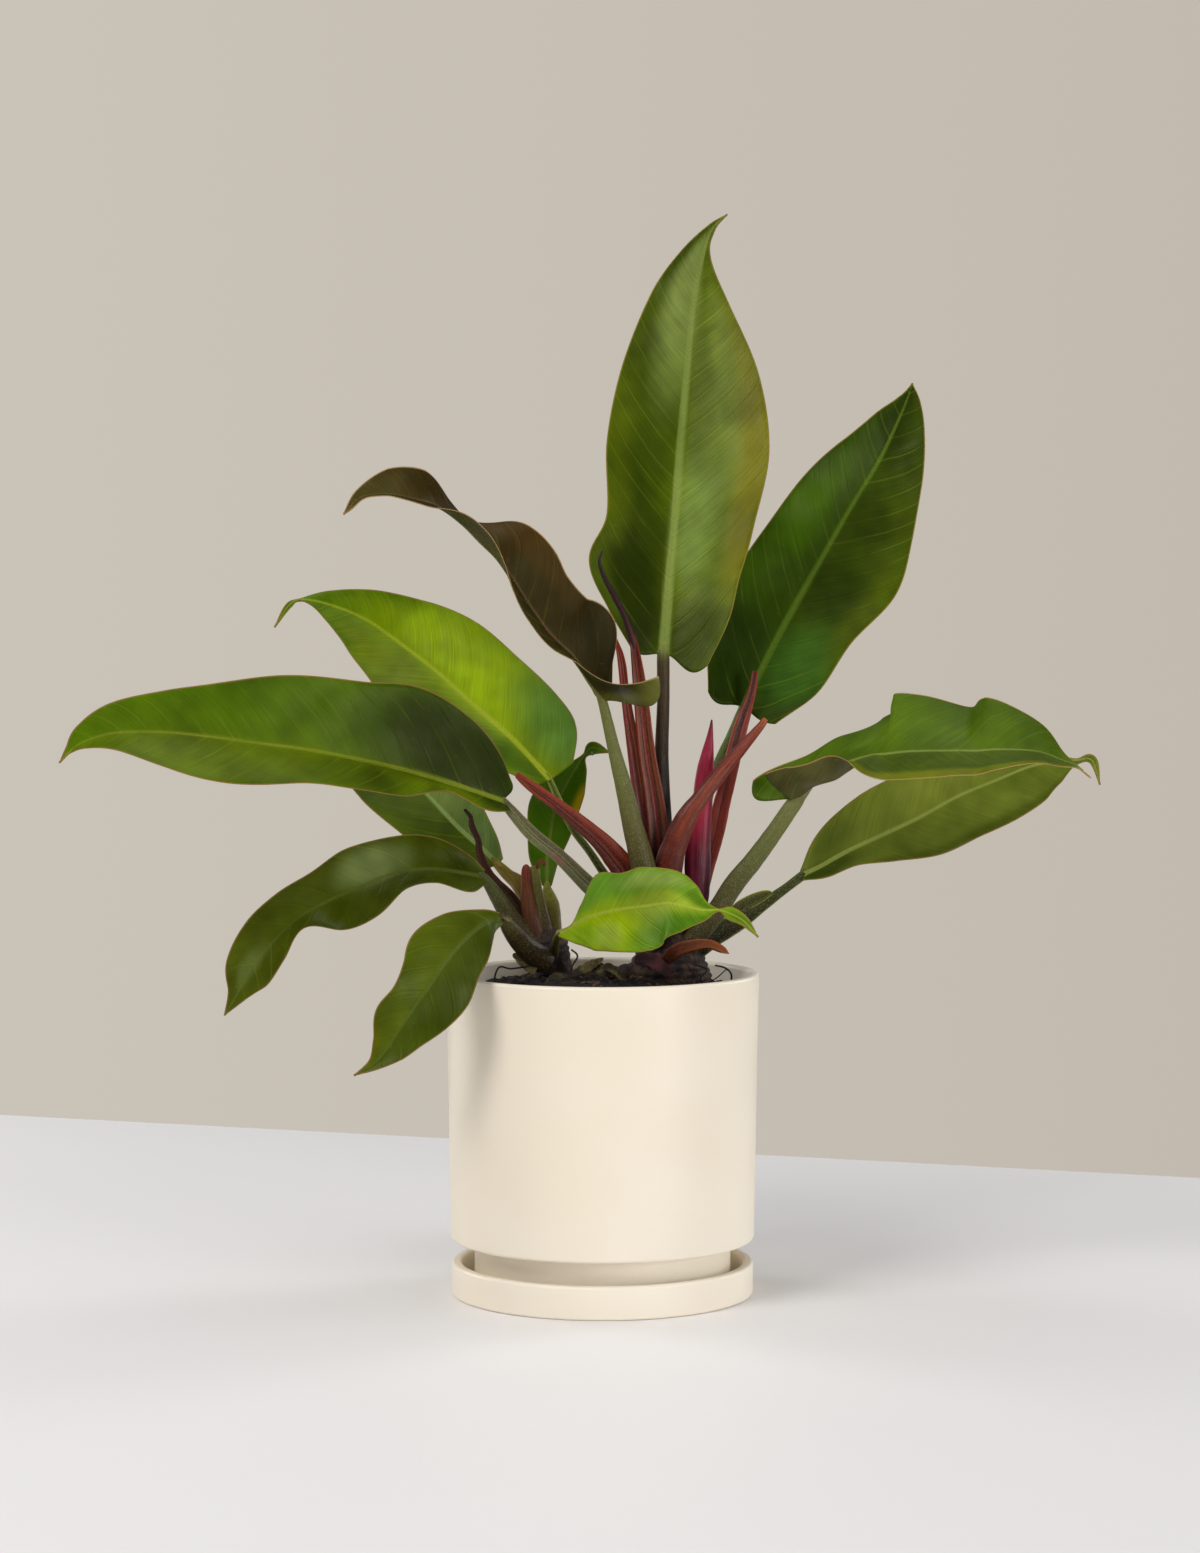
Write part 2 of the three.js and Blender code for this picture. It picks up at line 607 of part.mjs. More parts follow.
const plant = new THREE.Group();
plant.position.z = SOIL_Z;
const whole = new THREE.Group();
whole.add(plant);

function add(group, name, geometry, finish) {
  const mesh = new THREE.Mesh(geometry, finish);
  mesh.name = name;
  group.add(mesh);
}

// Each new piece of the plant is cut back from those already there.
const cutters = [];

function grow(name, build, finish) {
  add(plant, name, geometryOf(carve(build(0), cutters)), finish);
  cutters.push(build(GAP));
}

for (const [name, leaf] of Object.entries(LEAVES)) {
  grow(`leaf_${name}`, (wider) => blade(leaf, wider), name === "twisted_bronze" ? BRONZE : LEAF);
}
for (const [name, route] of Object.entries(CROWNS)) {
  grow(name, (wider) => stem(route, { sides: 12, steps: 8, grow: wider }), HUSK);
}

const stalkRoute = (name) => {
  const { top, rest } = STALKS[name];
  return [[...LEAVES[name].rib[0], top], ...rest];
};
const FRONT_FIRST = [
  "folded_right", "twisted_bronze", "long_left", "drooping_front", "drooping_left",
  "front_small", "lower_right", "tall_centre", "right_upper", "bright_left",
  "hidden_back", "small_upright",
];
const stalk = (name, wider) => {
  const bare = stem(stalkRoute(name), { grow: wider });
  if (name !== "lower_right") return bare;
  return bare.add(stem(STALK_WING, { depth: 0.3, steps: 6, sides: 6, grow: wider }));
};
const oneStalk = (name) => grow(`stalk_${name}`, (wider) => stalk(name, wider), STALK);
const oneSheath = ([name, route]) => {
  const finish = name === "bud_crimson" ? BUD : SHEATH;
  grow(name, (wider) => stem(route, { depth: SHEATH_DEPTH, sides: 6, grow: wider }), finish);
};

FRONT_FIRST.slice(0, 3).forEach(oneStalk);
Object.entries(SHEATHS).forEach(oneSheath);
FRONT_FIRST.slice(3).forEach(oneStalk);

grow("runner", (wider) => stem(RUNNER, { steps: 6, grow: wider }), HUSK);
for (const [name, route] of Object.entries(LITTER)) {
  grow(name, (wider) => stem(route, { depth: 0.4, steps: 5, sides: 6, grow: wider }), HUSK);
}
ROOTS.forEach((points, i) => {
  const route = points.map((place) => [...place, ROOT_DIAMETER]);
  grow(`root_${i + 1}`, (wider) => stem(route, { depth: 1, steps: 8, sides: 6, grow: wider }), HUSK);
});

add(plant, "soil", geometryOf(carve(solidOf(soil()), cutters)), EARTH);
add(whole, "pot", pot(), CERAMIC);
add(whole, "saucer", saucer(), CERAMIC);

export default whole;
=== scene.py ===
"""A potted philodendron: cream planter and saucer, soil, crowns, stalks, sheaths and leaves.

Metres, in the frame's own axes. The plant's tables are in millimetres, in a frame
of its own whose z = 0 is the soil's level.
"""

import math

import bmesh
import bpy
import numpy as np
from mathutils import Euler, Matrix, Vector


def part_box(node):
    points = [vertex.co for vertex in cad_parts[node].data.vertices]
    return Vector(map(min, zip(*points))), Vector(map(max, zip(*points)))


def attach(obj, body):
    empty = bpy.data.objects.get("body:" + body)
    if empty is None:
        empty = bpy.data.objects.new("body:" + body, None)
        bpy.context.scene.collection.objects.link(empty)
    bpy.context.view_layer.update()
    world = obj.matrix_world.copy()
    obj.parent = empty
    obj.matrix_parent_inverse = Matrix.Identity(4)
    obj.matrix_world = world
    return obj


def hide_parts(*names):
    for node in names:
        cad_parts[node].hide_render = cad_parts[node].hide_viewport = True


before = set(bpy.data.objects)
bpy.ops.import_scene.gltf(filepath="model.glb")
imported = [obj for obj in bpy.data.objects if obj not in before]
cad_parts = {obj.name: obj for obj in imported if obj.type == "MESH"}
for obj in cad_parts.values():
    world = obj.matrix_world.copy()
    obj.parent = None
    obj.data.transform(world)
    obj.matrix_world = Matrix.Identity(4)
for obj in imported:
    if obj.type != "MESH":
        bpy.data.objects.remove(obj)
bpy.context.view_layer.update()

MM = 0.001
SOIL_MOUND = 5
POT_RIM_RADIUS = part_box("pot")[1].x / MM
RIM_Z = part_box("pot")[1].z
SOIL_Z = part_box("soil")[1].z - SOIL_MOUND * MM
SOIL_BELOW_RIM = (RIM_Z - SOIL_Z) / MM
PLANT_FOOT = np.array([0, 0, SOIL_Z])

# ---------------------------------------------------------------- the plant's tables


def over_rim(out, degrees, rise):
    """A point so far out from the planter's rim, at that angle round it, and above it."""
    r = POT_RIM_RADIUS + out
    turn = math.radians(degrees)
    return [r * math.cos(turn), r * math.sin(turn), SOIL_BELOW_RIM + rise]


# A leaf: its rib's points from base to tip, and at each the half-width to its left and
# right and, in degrees, the roll about the rib and each half's fold and curl. Then how
# far each half's lobe sweeps back and its corner is drawn forward near the base, the
# share of the length that the lobes take, and the margins' ruffle: its height, its
# waves and where it starts in degrees.
FLAT = {"roll": 0, "left_fold": 15, "right_fold": 12, "left_curl": 0, "right_curl": 0}
PLAIN = {**FLAT, "lobes": [0, 0], "lobe_span": 0.2, "corners": [0, 0], "ruffle": [2, 2, 0]}

LEAVES = {
    "tall_centre": {
        **PLAIN,
        "rib": [
            [39, 16, 213], [41, 22, 237], [43, 30, 263], [46, 40, 293], [50, 56, 342], [55, 68, 395],
            [60, 74, 444], [66, 72, 474], [72, 66, 490], [81, 56, 498],
        ],
        "left": [21, 41, 56, 47, 51, 45, 30, 15, 4, 0],
        "right": [30, 42, 47, 53, 60, 49, 24, 5, 2, 0],
        "left_fold": 17, "right_fold": 13, "left_curl": 8, "right_curl": 8,
        "lobes": [3, 12], "ruffle": [2, 2.5, 20],
    },
    "right_upper": {
        **PLAIN,
        "rib": [
            [91, 40, 178], [104, 54, 203], [123, 72, 238], [145, 90, 275], [165, 104, 309],
            [184, 112, 340], [197, 112, 367], [203, 108, 382], [206, 102, 392],
        ],
        "left": [26, 43, 47, 44, 39, 29, 16, 6, 0],
        "right": [24, 40, 45, 55, 47, 33, 20, 10, 0],
        "left_fold": 16, "right_fold": 9, "right_curl": 8,
        "lobes": [8, 4], "ruffle": [2, 2.5, 200],
    },
    "twisted_bronze": {
        **PLAIN,
        "rib": [
            [0, -20, 183], [-8, -25, 195], [-19, -32, 211], [-33, -40, 225], [-46, -48, 243],
            [-56, -54, 259], [-65, -58, 272], [-76, -60, 283], [-87, -60, 294], [-101, -58, 304],
            [-117, -56, 309], [-134, -54, 312], [-150, -52, 310], [-161, -52, 300],
        ],
        "left": [55, 36, 25, 26, 27, 26, 25, 24, 21, 19, 16, 11, 5, 0],
        "right": [8, 20, 37, 33, 31, 33, 31, 27, 24, 21, 21, 17, 6, 0],
        "left_fold": [150, 115, 93, 82, 80, 84, 95, 108, 106, 84, 84, 84, 70, 0],
        "right_fold": [-20, -20, -15, -10, -12, -15, -22, -53, -78, -70, -22, -15, -10, 0],
        "lobes": [16, 0], "lobe_span": 0.12, "corners": [11, 0], "ruffle": [0, 2, 0],
    },
    "bright_left": {
        **PLAIN,
        "rib": [
            [-34, 28, 131], [-46, 36, 144], [-62, 46, 160], [-87, 62, 181], [-110, 76, 201],
            [-134, 86, 219], [-157, 90, 235], [-182, 90, 245], [-199, 86, 248], [-207, 82, 244],
            [-216, 76, 230],
        ],
        "left": [12, 23, 37, 49, 49, 39, 29, 13, 2, 3, 0],
        "right": [19, 37, 43, 45, 43, 34, 22, 11, 2, 2, 0],
        "roll": -30, "left_fold": 16, "right_fold": 12, "right_curl": 6,
        "ruffle": [3, 2, 90],
    },
    "long_left": {
        **PLAIN,
        "rib": [
            [-63, -24, 120], [-76, -32, 125], [-98, -44, 133], [-126, -60, 142], [-154, -74, 149],
            [-182, -86, 155], [-210, -96, 159], [-237, -104, 163], [-265, -110, 166], [-293, -114, 166],
            [-312, -115, 161], [-322, -114, 155], [-329, -112, 148],
        ],
        "left": [8, 13, 7, 24, 30, 33, 38, 40, 34, 20, 8, 1, 0],
        "right": [13, 29, 44, 53, 49, 45, 40, 33, 27, 20, 11, 3, 0],
        "roll": -30, "left_fold": 25, "right_fold": 22, "right_curl": 5,
        "lobes": [4, 4], "ruffle": [3, 2.5, 0],
    },
    "hidden_back": {
        **PLAIN,
        "rib": [
            [-68, 26, 77], [-78, 36, 86], [-93, 50, 98], [-109, 68, 113], [-126, 86, 129],
            [-144, 102, 147], [-162, 112, 163], [-176, 118, 175], [-184, 120, 183],
        ],
        "left": [6, 19, 31, 37, 40, 37, 24, 8, 0],
        "right": [5, 13, 21, 26, 28, 27, 18, 7, 0],
        "roll": -20, "left_fold": 18, "right_fold": 14,
    },
    "drooping_left": {
        **PLAIN,
        "rib": [
            [-76, 2, 70], [-89, -4, 73], [-110, -12, 76], [-131, -20, 74], [-153, -28, 66],
            [-174, -34, 57], [-192, -38, 46], [-208, -40, 31], [-222, -40, 14], [-230, -38, -1],
            [-238, -36, -14],
        ],
        "left": [6, 19, 20, 21, 26, 24, 15, 16, 15, 6, 0],
        "right": [5, 14, 22, 24, 26, 21, 21, 21, 16, 6, 0],
        "roll": [-30, -30, -30, -28, -25, -20, -15, -10, -5, 0, 0],
        "left_fold": [20, 30, 40, 35, 15, 15, 50, 30, 15, 10, 0],
        "right_fold": 12, "right_curl": 5, "ruffle": [0, 3, 0],
    },
    "drooping_front": {
        **PLAIN,
        "rib": [
            over_rim(-28, 208, 37), over_rim(-11, 214, 35), over_rim(8, 217.5, 26),
            over_rim(24, 219, 14), over_rim(36, 219.3, 1), over_rim(46.5, 219, -11),
            over_rim(56, 218, -24), over_rim(64, 216.8, -37), over_rim(71.5, 215.3, -47),
            over_rim(81, 212.8, -54),
        ],
        "left": [3, 10, 19, 23, 27, 25, 19, 12, 4, 0],
        "right": [3, 9, 21, 27, 22, 18, 19, 11, 4, 0],
        "roll": -4, "left_fold": 15, "right_fold": 15, "ruffle": [2, 2, 60],
    },
    "small_upright": {
        **PLAIN,
        "rib": [
            [-36, 34, 62], [-36, 42, 71], [-36, 50, 81], [-34, 60, 95], [-31, 68, 111], [-24, 72, 126],
            [-17, 72, 138], [-12, 70, 146], [-6, 66, 151], [5, 62, 148],
        ],
        "left": [3, 9, 13, 16, 18, 13, 6, 1, 4, 0],
        "right": [3, 6, 10, 14, 16, 14, 8, 2, 5, 0],
        "left_fold": 18, "right_fold": 18, "ruffle": [1.5, 1.5, 0],
    },
    "folded_right": {
        **PLAIN,
        "rib": [
            [122, -14, 119], [133, -18, 130], [148, -26, 142], [167, -36, 149], [176, -41, 150],
            [192, -48, 152], [219, -60, 153], [232, -64, 153], [246, -68, 154], [268, -72, 153],
            [283, -72, 148], [293, -70, 144], [302, -66, 137],
        ],
        "left": [29, 32, 39, 44, 46, 46, 43, 42, 37, 25, 10, 2, 0],
        "right": [29, 32, 37, 39, 40, 41, 38, 36, 32, 21, 9, 2, 0],
        "roll": 60,
        "left_fold": [45, -1, -10, -4, 20, 18, 8, 20, 21, 15, 8, 0, 0],
        "right_fold": [70, 20, -26, 14, 8, 9, 8, 9, 10, 12, 5, 0, 0],
        "right_curl": [85, 125, 165, 45, 20, 0, 0, 0, 0, 0, 0, 0, 0],
        "lobes": [18, 0], "lobe_span": 0.12, "ruffle": [0, 3, 0],
    },
    "lower_right": {
        **PLAIN,
        "rib": [
            [130, 10, 72], [141, 14, 77], [159, 24, 86], [181, 36, 95], [207, 50, 106], [233, 62, 119],
            [259, 72, 129], [283, 80, 138], [300, 84, 141], [314, 86, 142], [324, 84, 142],
            [329, 80, 126],
        ],
        "left": [4, 15, 24, 30, 31, 30, 24, 15, 6, 1, 3, 0],
        "right": [4, 9, 12, 20, 29, 31, 30, 25, 15, 3, 2, 0],
        "roll": 14, "left_fold": 12, "right_fold": 9, "lobes": [2, 4],
    },
    "front_small": {
        **PLAIN,
        "rib": [
            [-28, -32, 37], [-19, -42, 43], [-9, -52, 49], [2, -60, 53], [15, -68, 56], [27, -74, 58],
            [40, -78, 60], [52, -80, 58], [62, -81, 56], [71, -81, 56], [78, -80, 54], [87, -79, 49],
            [96, -77, 39],
        ],
        "left": [2, 1, 10, 24, 22, 24, 21, 16, 7, 1, 4, 3, 0],
        "right": [2, 12, 21, 25, 28, 29, 25, 17, 8, 1, 4, 3, 0],
        "roll": 14, "left_fold": 11, "right_fold": 9, "right_curl": 4, "ruffle": [0.6, 2, 0],
    },
}

# Each stalk runs from its leaf's base down into a crown: the rows below the first,
# with the width of the stalk at its top.
STALKS = {
    "tall_centre": {
        "top": 8, "rest": [
            [39, 14, 183, 8], [38, 12, 145, 9], [40, 11, 100, 10], [43, 10, 62, 11], [46, 10, 26, 12],
        ],
    },
    "right_upper": {
        "top": 5, "rest": [
            [83, 38, 160, 5], [74, 36, 139, 6], [65, 31, 105, 6], [58, 25, 73, 8], [51, 17, 30, 9],
        ],
    },
    "twisted_bronze": {
        "top": 6, "rest": [
            [7, -20, 154, 8], [14, -19, 127, 11], [19, -16, 105, 13], [26, -12, 77, 16],
            [34, -3, 30, 17],
        ],
    },
    "bright_left": {
        "top": 4, "rest": [
            [-21, 25, 103, 5], [-8, 22, 85, 5], [6, 18, 64, 6], [31, 12, 27, 8],
        ],
    },
    "long_left": {
        "top": 6, "rest": [
            [-45, -24, 100, 9], [-27, -22, 85, 9], [-8, -18, 66, 11], [12, -12, 48, 11],
            [34, -3, 24, 13],
        ],
    },
    "hidden_back": {
        "top": 6, "rest": [
            [-61, 26, 70, 8], [-53, 25, 63, 11], [-44, 23, 46, 11], [-35, 19, 22, 10],
        ],
    },
    "drooping_left": {
        "top": 6, "rest": [
            [-67, 4, 57, 10], [-59, 8, 44, 12], [-48, 11, 31, 13], [-36, 15, 17, 13],
        ],
    },
    "drooping_front": {"top": 6, "rest": [[-58, -26, 39, 11], [-50, -14, 28, 14], [-37, 4, 16, 17]]},
    "small_upright": {"top": 5, "rest": [[-35, 32, 53, 12], [-33, 30, 44, 12], [-30, 22, 22, 9]]},
    "folded_right": {
        "top": 10, "rest": [
            [109, -13, 100, 11], [96, -11, 82, 12], [84, -8, 67, 13], [72, -3, 48, 13],
            [52, 4, 22, 14],
        ],
    },
    "lower_right": {
        "top": 6, "rest": [
            [117, 11, 62, 6], [103, 11, 52, 8], [87, 11, 41, 12], [70, 11, 31, 14], [52, 11, 17, 14],
        ],
    },
    "front_small": {"top": 3, "rest": [[-29, -24, 34, 4], [-30, -12, 29, 5], [-31, 6, 20, 6]]},
}
# A thin wing stands along the lower right stalk's upper side.
STALK_WING = [
    [80, 10, 44, 6], [89, 10, 51, 8], [99, 10, 56, 8], [106, 10, 59, 5], [110, 10, 59, 1],
]

# Sheaths, buds and stubs that no leaf sits on.
SHEATHS = {
    "sheath_left": [
        [-55, -10, 137, 4], [-45, -11, 129, 7], [-31, -12, 119, 8], [-17, -12, 108, 10],
        [-3, -11, 96, 12], [7, -9, 85, 15], [18, -6, 69, 17], [32, 3, 32, 15],
    ],
    "sheath_right_front": [
        [104, 4, 172, 4], [101, 3, 167, 5], [87, 0, 151, 8], [73, -6, 135, 10], [62, -9, 121, 11],
        [53, -10, 108, 14], [46, -9, 92, 16], [42, -7, 76, 18], [39, 2, 34, 16],
    ],
    "bud_crimson": [
        [70, 10, 171, 1], [69, 10, 161, 4], [66, 10, 139, 11], [64, 9, 117, 13], [62, 8, 95, 15],
        [61, 7, 80, 17], [61, 6, 66, 16], [61, 6, 52, 13], [57, 6, 26, 12],
    ],
    "sheath_centre": [
        [18, 1, 228, 2], [20, 0.5, 220, 5], [24, 0, 190, 9], [28, 0, 152, 11], [34, 0, 113, 13],
        [37, 1, 78, 14], [41, 5, 30, 14],
    ],
    "sheath_centre_left": [
        [8, 4, 224, 1.5], [12, 3, 209, 5], [15, 3, 184, 6], [21, 3, 145, 9], [27, 2, 101, 11],
        [35, 5, 34, 13],
    ],
    "spear_dark": [
        [0, 0, 279, 1], [-2, 0, 272, 2], [1, 0, 262, 3], [8, 0, 249, 4], [14, 0, 237, 4],
        [19, 1, 222, 5], [22, 3, 208, 3],
    ],
    "sheath_right_back": [
        [99, 34, 202, 4], [96, 32, 186, 6], [90, 30, 168, 9], [86, 28, 153, 10], [81, 26, 131, 10],
        [77, 25, 116, 11], [73, 24, 97, 11], [65, 20, 67, 10], [56, 13, 26, 9],
    ],
    "sheath_low_orange": [
        [40, -20, 18, 7], [46, -24, 25, 9], [57, -26, 29, 8], [67, -27, 30, 6], [75, -28, 27, 5],
        [80, -28, 24, 1],
    ],
    "stub_cut": [
        [-44, 12, 77, 7], [-44, 12, 74, 8], [-44, 12, 66, 9], [-43, 12, 54, 12], [-41, 12, 39, 16],
        [-38, 14, 20, 19],
    ],
    "sheath_twisted_brown": [
        [-89, 20, 113, 2], [-85, 20, 108, 3], [-84, 19, 102, 4], [-80, 18, 93, 4], [-79, 17, 85, 5],
        [-74, 15, 73, 6], [-68, 13, 66, 6], [-59, 12, 57, 7], [-50, 12, 43, 8],
    ],
}

# The cut stub's outer scale, and the curl of dry skin on its top.
STUB_PARTS = {
    "stub_scale": [
        [-49, 11, 78, 3], [-49, 11, 74, 6], [-48.5, 11, 64, 8], [-47, 11, 50, 11], [-44, 12, 36, 14],
        [-40, 13, 21, 15],
    ],
    "stub_curl": [
        [-42, 10, 75, 2.2], [-41, 9, 79, 2.2], [-38.5, 8, 80.5, 2], [-37, 8, 78.5, 1.6],
        [-38.5, 8, 77, 1],
    ],
}

# Crowns, the runner between them and what lies on the soil.
CROWNS = {
    "crown_main": [
        [43, 12, -18, 40], [43, 12, 0, 54], [43, 11, 12, 50], [44, 10, 24, 40], [45, 9, 33, 26],
        [45, 9, 38, 12],
    ],
    "crown_side": [
        [-31, 18, -16, 22], [-31, 18, 0, 27], [-32, 17, 12, 24], [-35, 16, 24, 26],
        [-37, 15, 33, 20], [-38, 14, 40, 10],
    ],
}
RUNNER = [[-12, 14, 2, 8], [2, 10, 6, 9], [11, 8, 8, 10], [24, 9, 10, 12]]
LITTER = {
    "scale_brown": [[-57, -6, 22, 3], [-50, -5, 16, 6], [-43, -4, 10, 6]],
    "husk_dry": [[-22, -8, 7, 3], [-14, -8, 11, 6], [-5, -8, 13, 8], [1, -8, 12, 6], [7, -8, 8, 3]],
    "flake_pink": [
        [*over_rim(-19, 203, 40), 1], [*over_rim(-25, 209, 40), 3], [*over_rim(-31, 214, 36), 3],
    ],
}
# Torn husks and a broad old scale that lie against the crowns, finer than the litter.
HUSKS = {
    "husk_pointed": [[-20, -9, 8, 2], [-13, -9, 12, 6], [-5, -9, 16, 6], [0.5, -9, 19.5, 1]],
    "husk_bent": [[-4, -12, 11, 2], [3, -12, 14, 5], [9, -12, 11, 5], [15, -12, 5, 3]],
    "husk_left": [[-36, -14, 4, 2], [-30, -14, 8, 5], [-22, -14, 9, 2]],
    "scale_maroon": [[20, -19, 19, 3], [27, -20, 20, 9], [36, -20, 17, 11], [44, -18, 10, 9]],
}
ROOTS = [
    [[-20, 2, 24], [-16, -2, 20], [-20, -6, 12], [-18, -8, 3]],
    [[-46, -4, 14], [-58, -12, 13], [-66, -16, 14], [-70, -18, 2]],
    [[58, -24, 17], [66, -28, 14], [62, -32, 9], [66, -34, 1]],
    [[72, 0, 14], [78, -6, 13], [82, -10, 9], [81, -12, 0]],
]
ROOTLETS = [
    [[54, -26, 16], [60, -30, 9], [64, -33, 4], [67, -34, -1]],
    [[60, -33, 4], [66, -32, 6], [72, -30, 9], [78, -28, 14]],
    [[50, -30, 12], [55, -34, 5], [60, -36, 0]],
    [[47, -30, 8], [53, -37, 4], [54, -41, -1]],
    [[-26, -4, 18], [-22, -9, 12], [-19, -12, 4], [-20, -13, -1]],
    [[-30, -10, 9], [-27, -16, 4], [-22, -20, -1]],
    [[-44, -2, 8], [-50, -9, 5], [-57, -10, 4], [-62, -15, -1]],
    [[20, -14, 9], [17, -20, 5], [18, -26, -1]],
]

# ---------------------------------------------------------------- shape tools


def unit(v):
    """Each vector over its own length."""
    return v / np.maximum(np.linalg.norm(v, axis=-1, keepdims=True), 1e-12)


def curve(rows, t):
    """Rows of numbers joined by a smooth curve: each span is a cubic that leaves and
    reaches its ends at half the step between their neighbours."""
    p = np.asarray(rows, float)
    last = len(p) - 1
    p = np.vstack([2 * p[0] - p[1], p, 2 * p[-1] - p[-2]])
    x = np.clip(np.asarray(t, float), 0, 1) * last
    i = np.minimum(x.astype(int), last - 1)
    f = (x - i)[:, None]
    a, b, c, d = p[i], p[i + 1], p[i + 2], p[i + 3]
    bend = 2 * a - 5 * b + 4 * c - d + f * (3 * (b - c) + d - a)
    return b + 0.5 * f * (c - a + f * bend)


def axes(rows, t):
    """Ahead along the curve; across, square to it and level; front, square to both."""
    step = 1e-3
    ahead = unit((curve(rows, np.minimum(t + step, 1)) - curve(rows, np.maximum(t - step, 0)))[:, :3])
    across = unit(np.cross([0, 1, 0], ahead))
    return ahead, across, np.cross(across, ahead)


def run_of(places):
    """How far along a row of points each lies, in mm: the steps between them, added up."""
    steps = np.linalg.norm(np.diff(places, axis=0), axis=1)
    return np.concatenate([[0], np.cumsum(steps)])[:, None]


def smooth(x, low, high):
    """0 below low, 1 above high, and a soft S between them."""
    f = np.clip((x - low) / (high - low), 0, 1)
    return f * f * (3 - 2 * f)


def lumps(points, size, seed, waves=24):
    """Soft random relief from -1 to 1: the mean of plane waves in random directions,
    each about size long from crest to crest."""
    rng = np.random.default_rng(seed)
    heading = unit(rng.normal(size=(waves, 3)))
    pitch = 2 * np.pi / (size * rng.uniform(0.7, 1.6, waves))
    phase = rng.uniform(0, 2 * np.pi, waves)
    angle = points @ (heading * pitch[:, None]).T + phase
    return np.sin(angle).sum(-1) / math.sqrt(waves)


def turn_outward(mesh):
    """Turns every face of a closed mesh to point outwards."""
    shell = bmesh.new()
    shell.from_mesh(mesh)
    bmesh.ops.recalc_face_normals(shell, faces=shell.faces)
    shell.to_mesh(mesh)
    shell.free()
    mesh.update()


def make_mesh(name, points, faces, finish, notes=None):
    """A smooth mesh from points in metres, faces by index and values noted at each point."""
    mesh = bpy.data.meshes.new(name)
    mesh.from_pydata(points.reshape(-1, 3).tolist(), [], faces)
    mesh.polygons.foreach_set("use_smooth", np.ones(len(mesh.polygons), bool))
    for key, value in (notes or {}).items():
        value = np.asarray(value, np.float32)
        if key == "tint":
            layer = mesh.attributes.new(key, "FLOAT_COLOR", "POINT")
            rgba = np.column_stack([np.clip(value, 0, 1), np.ones(len(value), np.float32)])
            layer.data.foreach_set("color", rgba.ravel())
        elif value.ndim == 2:
            layer = mesh.attributes.new(key, "FLOAT_VECTOR", "POINT")
            layer.data.foreach_set("vector", value.ravel())
        else:
            layer = mesh.attributes.new(key, "FLOAT", "POINT")
            layer.data.foreach_set("value", value.ravel())
    mesh.materials.append(finish)
    turn_outward(mesh)
    piece = bpy.data.objects.new(name, mesh)
    bpy.context.scene.collection.objects.link(piece)
    return piece


def ring_faces(rings, size):
    """Faces of a skin over rings of points. A ring runs over the front, round one edge
    and back over the rear, so each end is closed by rungs between the two."""
    i = np.arange(size)
    j = (i + 1) % size
    base = (np.arange(rings - 1) * size)[:, None]
    skin = np.stack([base + i, base + j, base + size + j, base + size + i], -1).reshape(-1, 4)
    half = size // 2 - 1
    k = np.arange(half - 1)
    rungs = np.stack([k, size - 2 - k, size - 3 - k, k + 1], -1)
    ends = np.array([[half - 1, half + 1, half], [size - 2, 0, size - 1]])
    top = (rings - 1) * size
    faces = skin.tolist() + rungs.tolist() + ends.tolist()
    faces += (rungs[:, ::-1] + top).tolist() + (ends[:, ::-1] + top).tolist()
    return faces


def wrap(front, right, rear, left):
    """Rings that run over the front row, the right edge, back over the rear row and the
    left edge. Each is an array of points or of noted values, one ring to a row."""
    return np.concatenate([front, right[:, None], rear[:, ::-1], left[:, None]], 1)


def show(piece, slot, *nodes):
    """The piece rides on the plant's one body and stands for its CAD nodes."""
    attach(piece, "root")
    if nodes:
        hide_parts(*nodes)
    return piece


# ---------------------------------------------------------------- leaves

BLADE_ROWS = 150
BLADE_COLUMNS = 45
# The power that draws the columns of points towards the rib.
COLUMN_CROWDING = 1.35
BLADE_HALF_THICKNESS = 0.42
LEAST_HALF_WIDTH = 0.4
EDGE_THINNING = 0.45
EDGE_OVERHANG = 0.35
# Near the base: how much a drawn corner narrows its half, and the lobes' arc over reach.
CORNER_NIP = 0.018
LOBE_ARC = 1.4
# How far apart the two margins' waves run, in radians, and how fast they die at the ends.
RUFFLE_LAG = 2.1
RUFFLE_ENDS = 0.7
# Side veins: their pitch along the rib, their slant from it and sweep to the tip, and
# the swell between them, whole where the blade is at least as broad as SWELL_BREADTH.
VEIN_PITCH = 17
VEIN_SLANT = 0.85
VEIN_SWEEP = 0.22
VEIN_SWELL = 0.1
SWELL_BREADTH = 15
CRINKLE_SIZE = 34
# The rib: its half-width at the tip, the power it tapers by, and the share of its
# half-width by which it stands above and below the blade.
RIB_TIP_HALF = 0.45
RIB_TAPER = 0.8
RIB_ABOVE = 0.22
RIB_BELOW = 0.42


def leaf_rows(leaf):
    """The leaf's columns side by side: rib, half-widths, roll, folds and curls."""
    count = len(leaf["rib"])
    keys = ["left", "right", "roll", "left_fold", "right_fold", "left_curl", "right_curl"]
    columns = [np.broadcast_to(np.asarray(leaf[key], float), count) for key in keys]
    return np.column_stack([np.asarray(leaf["rib"], float), *columns])


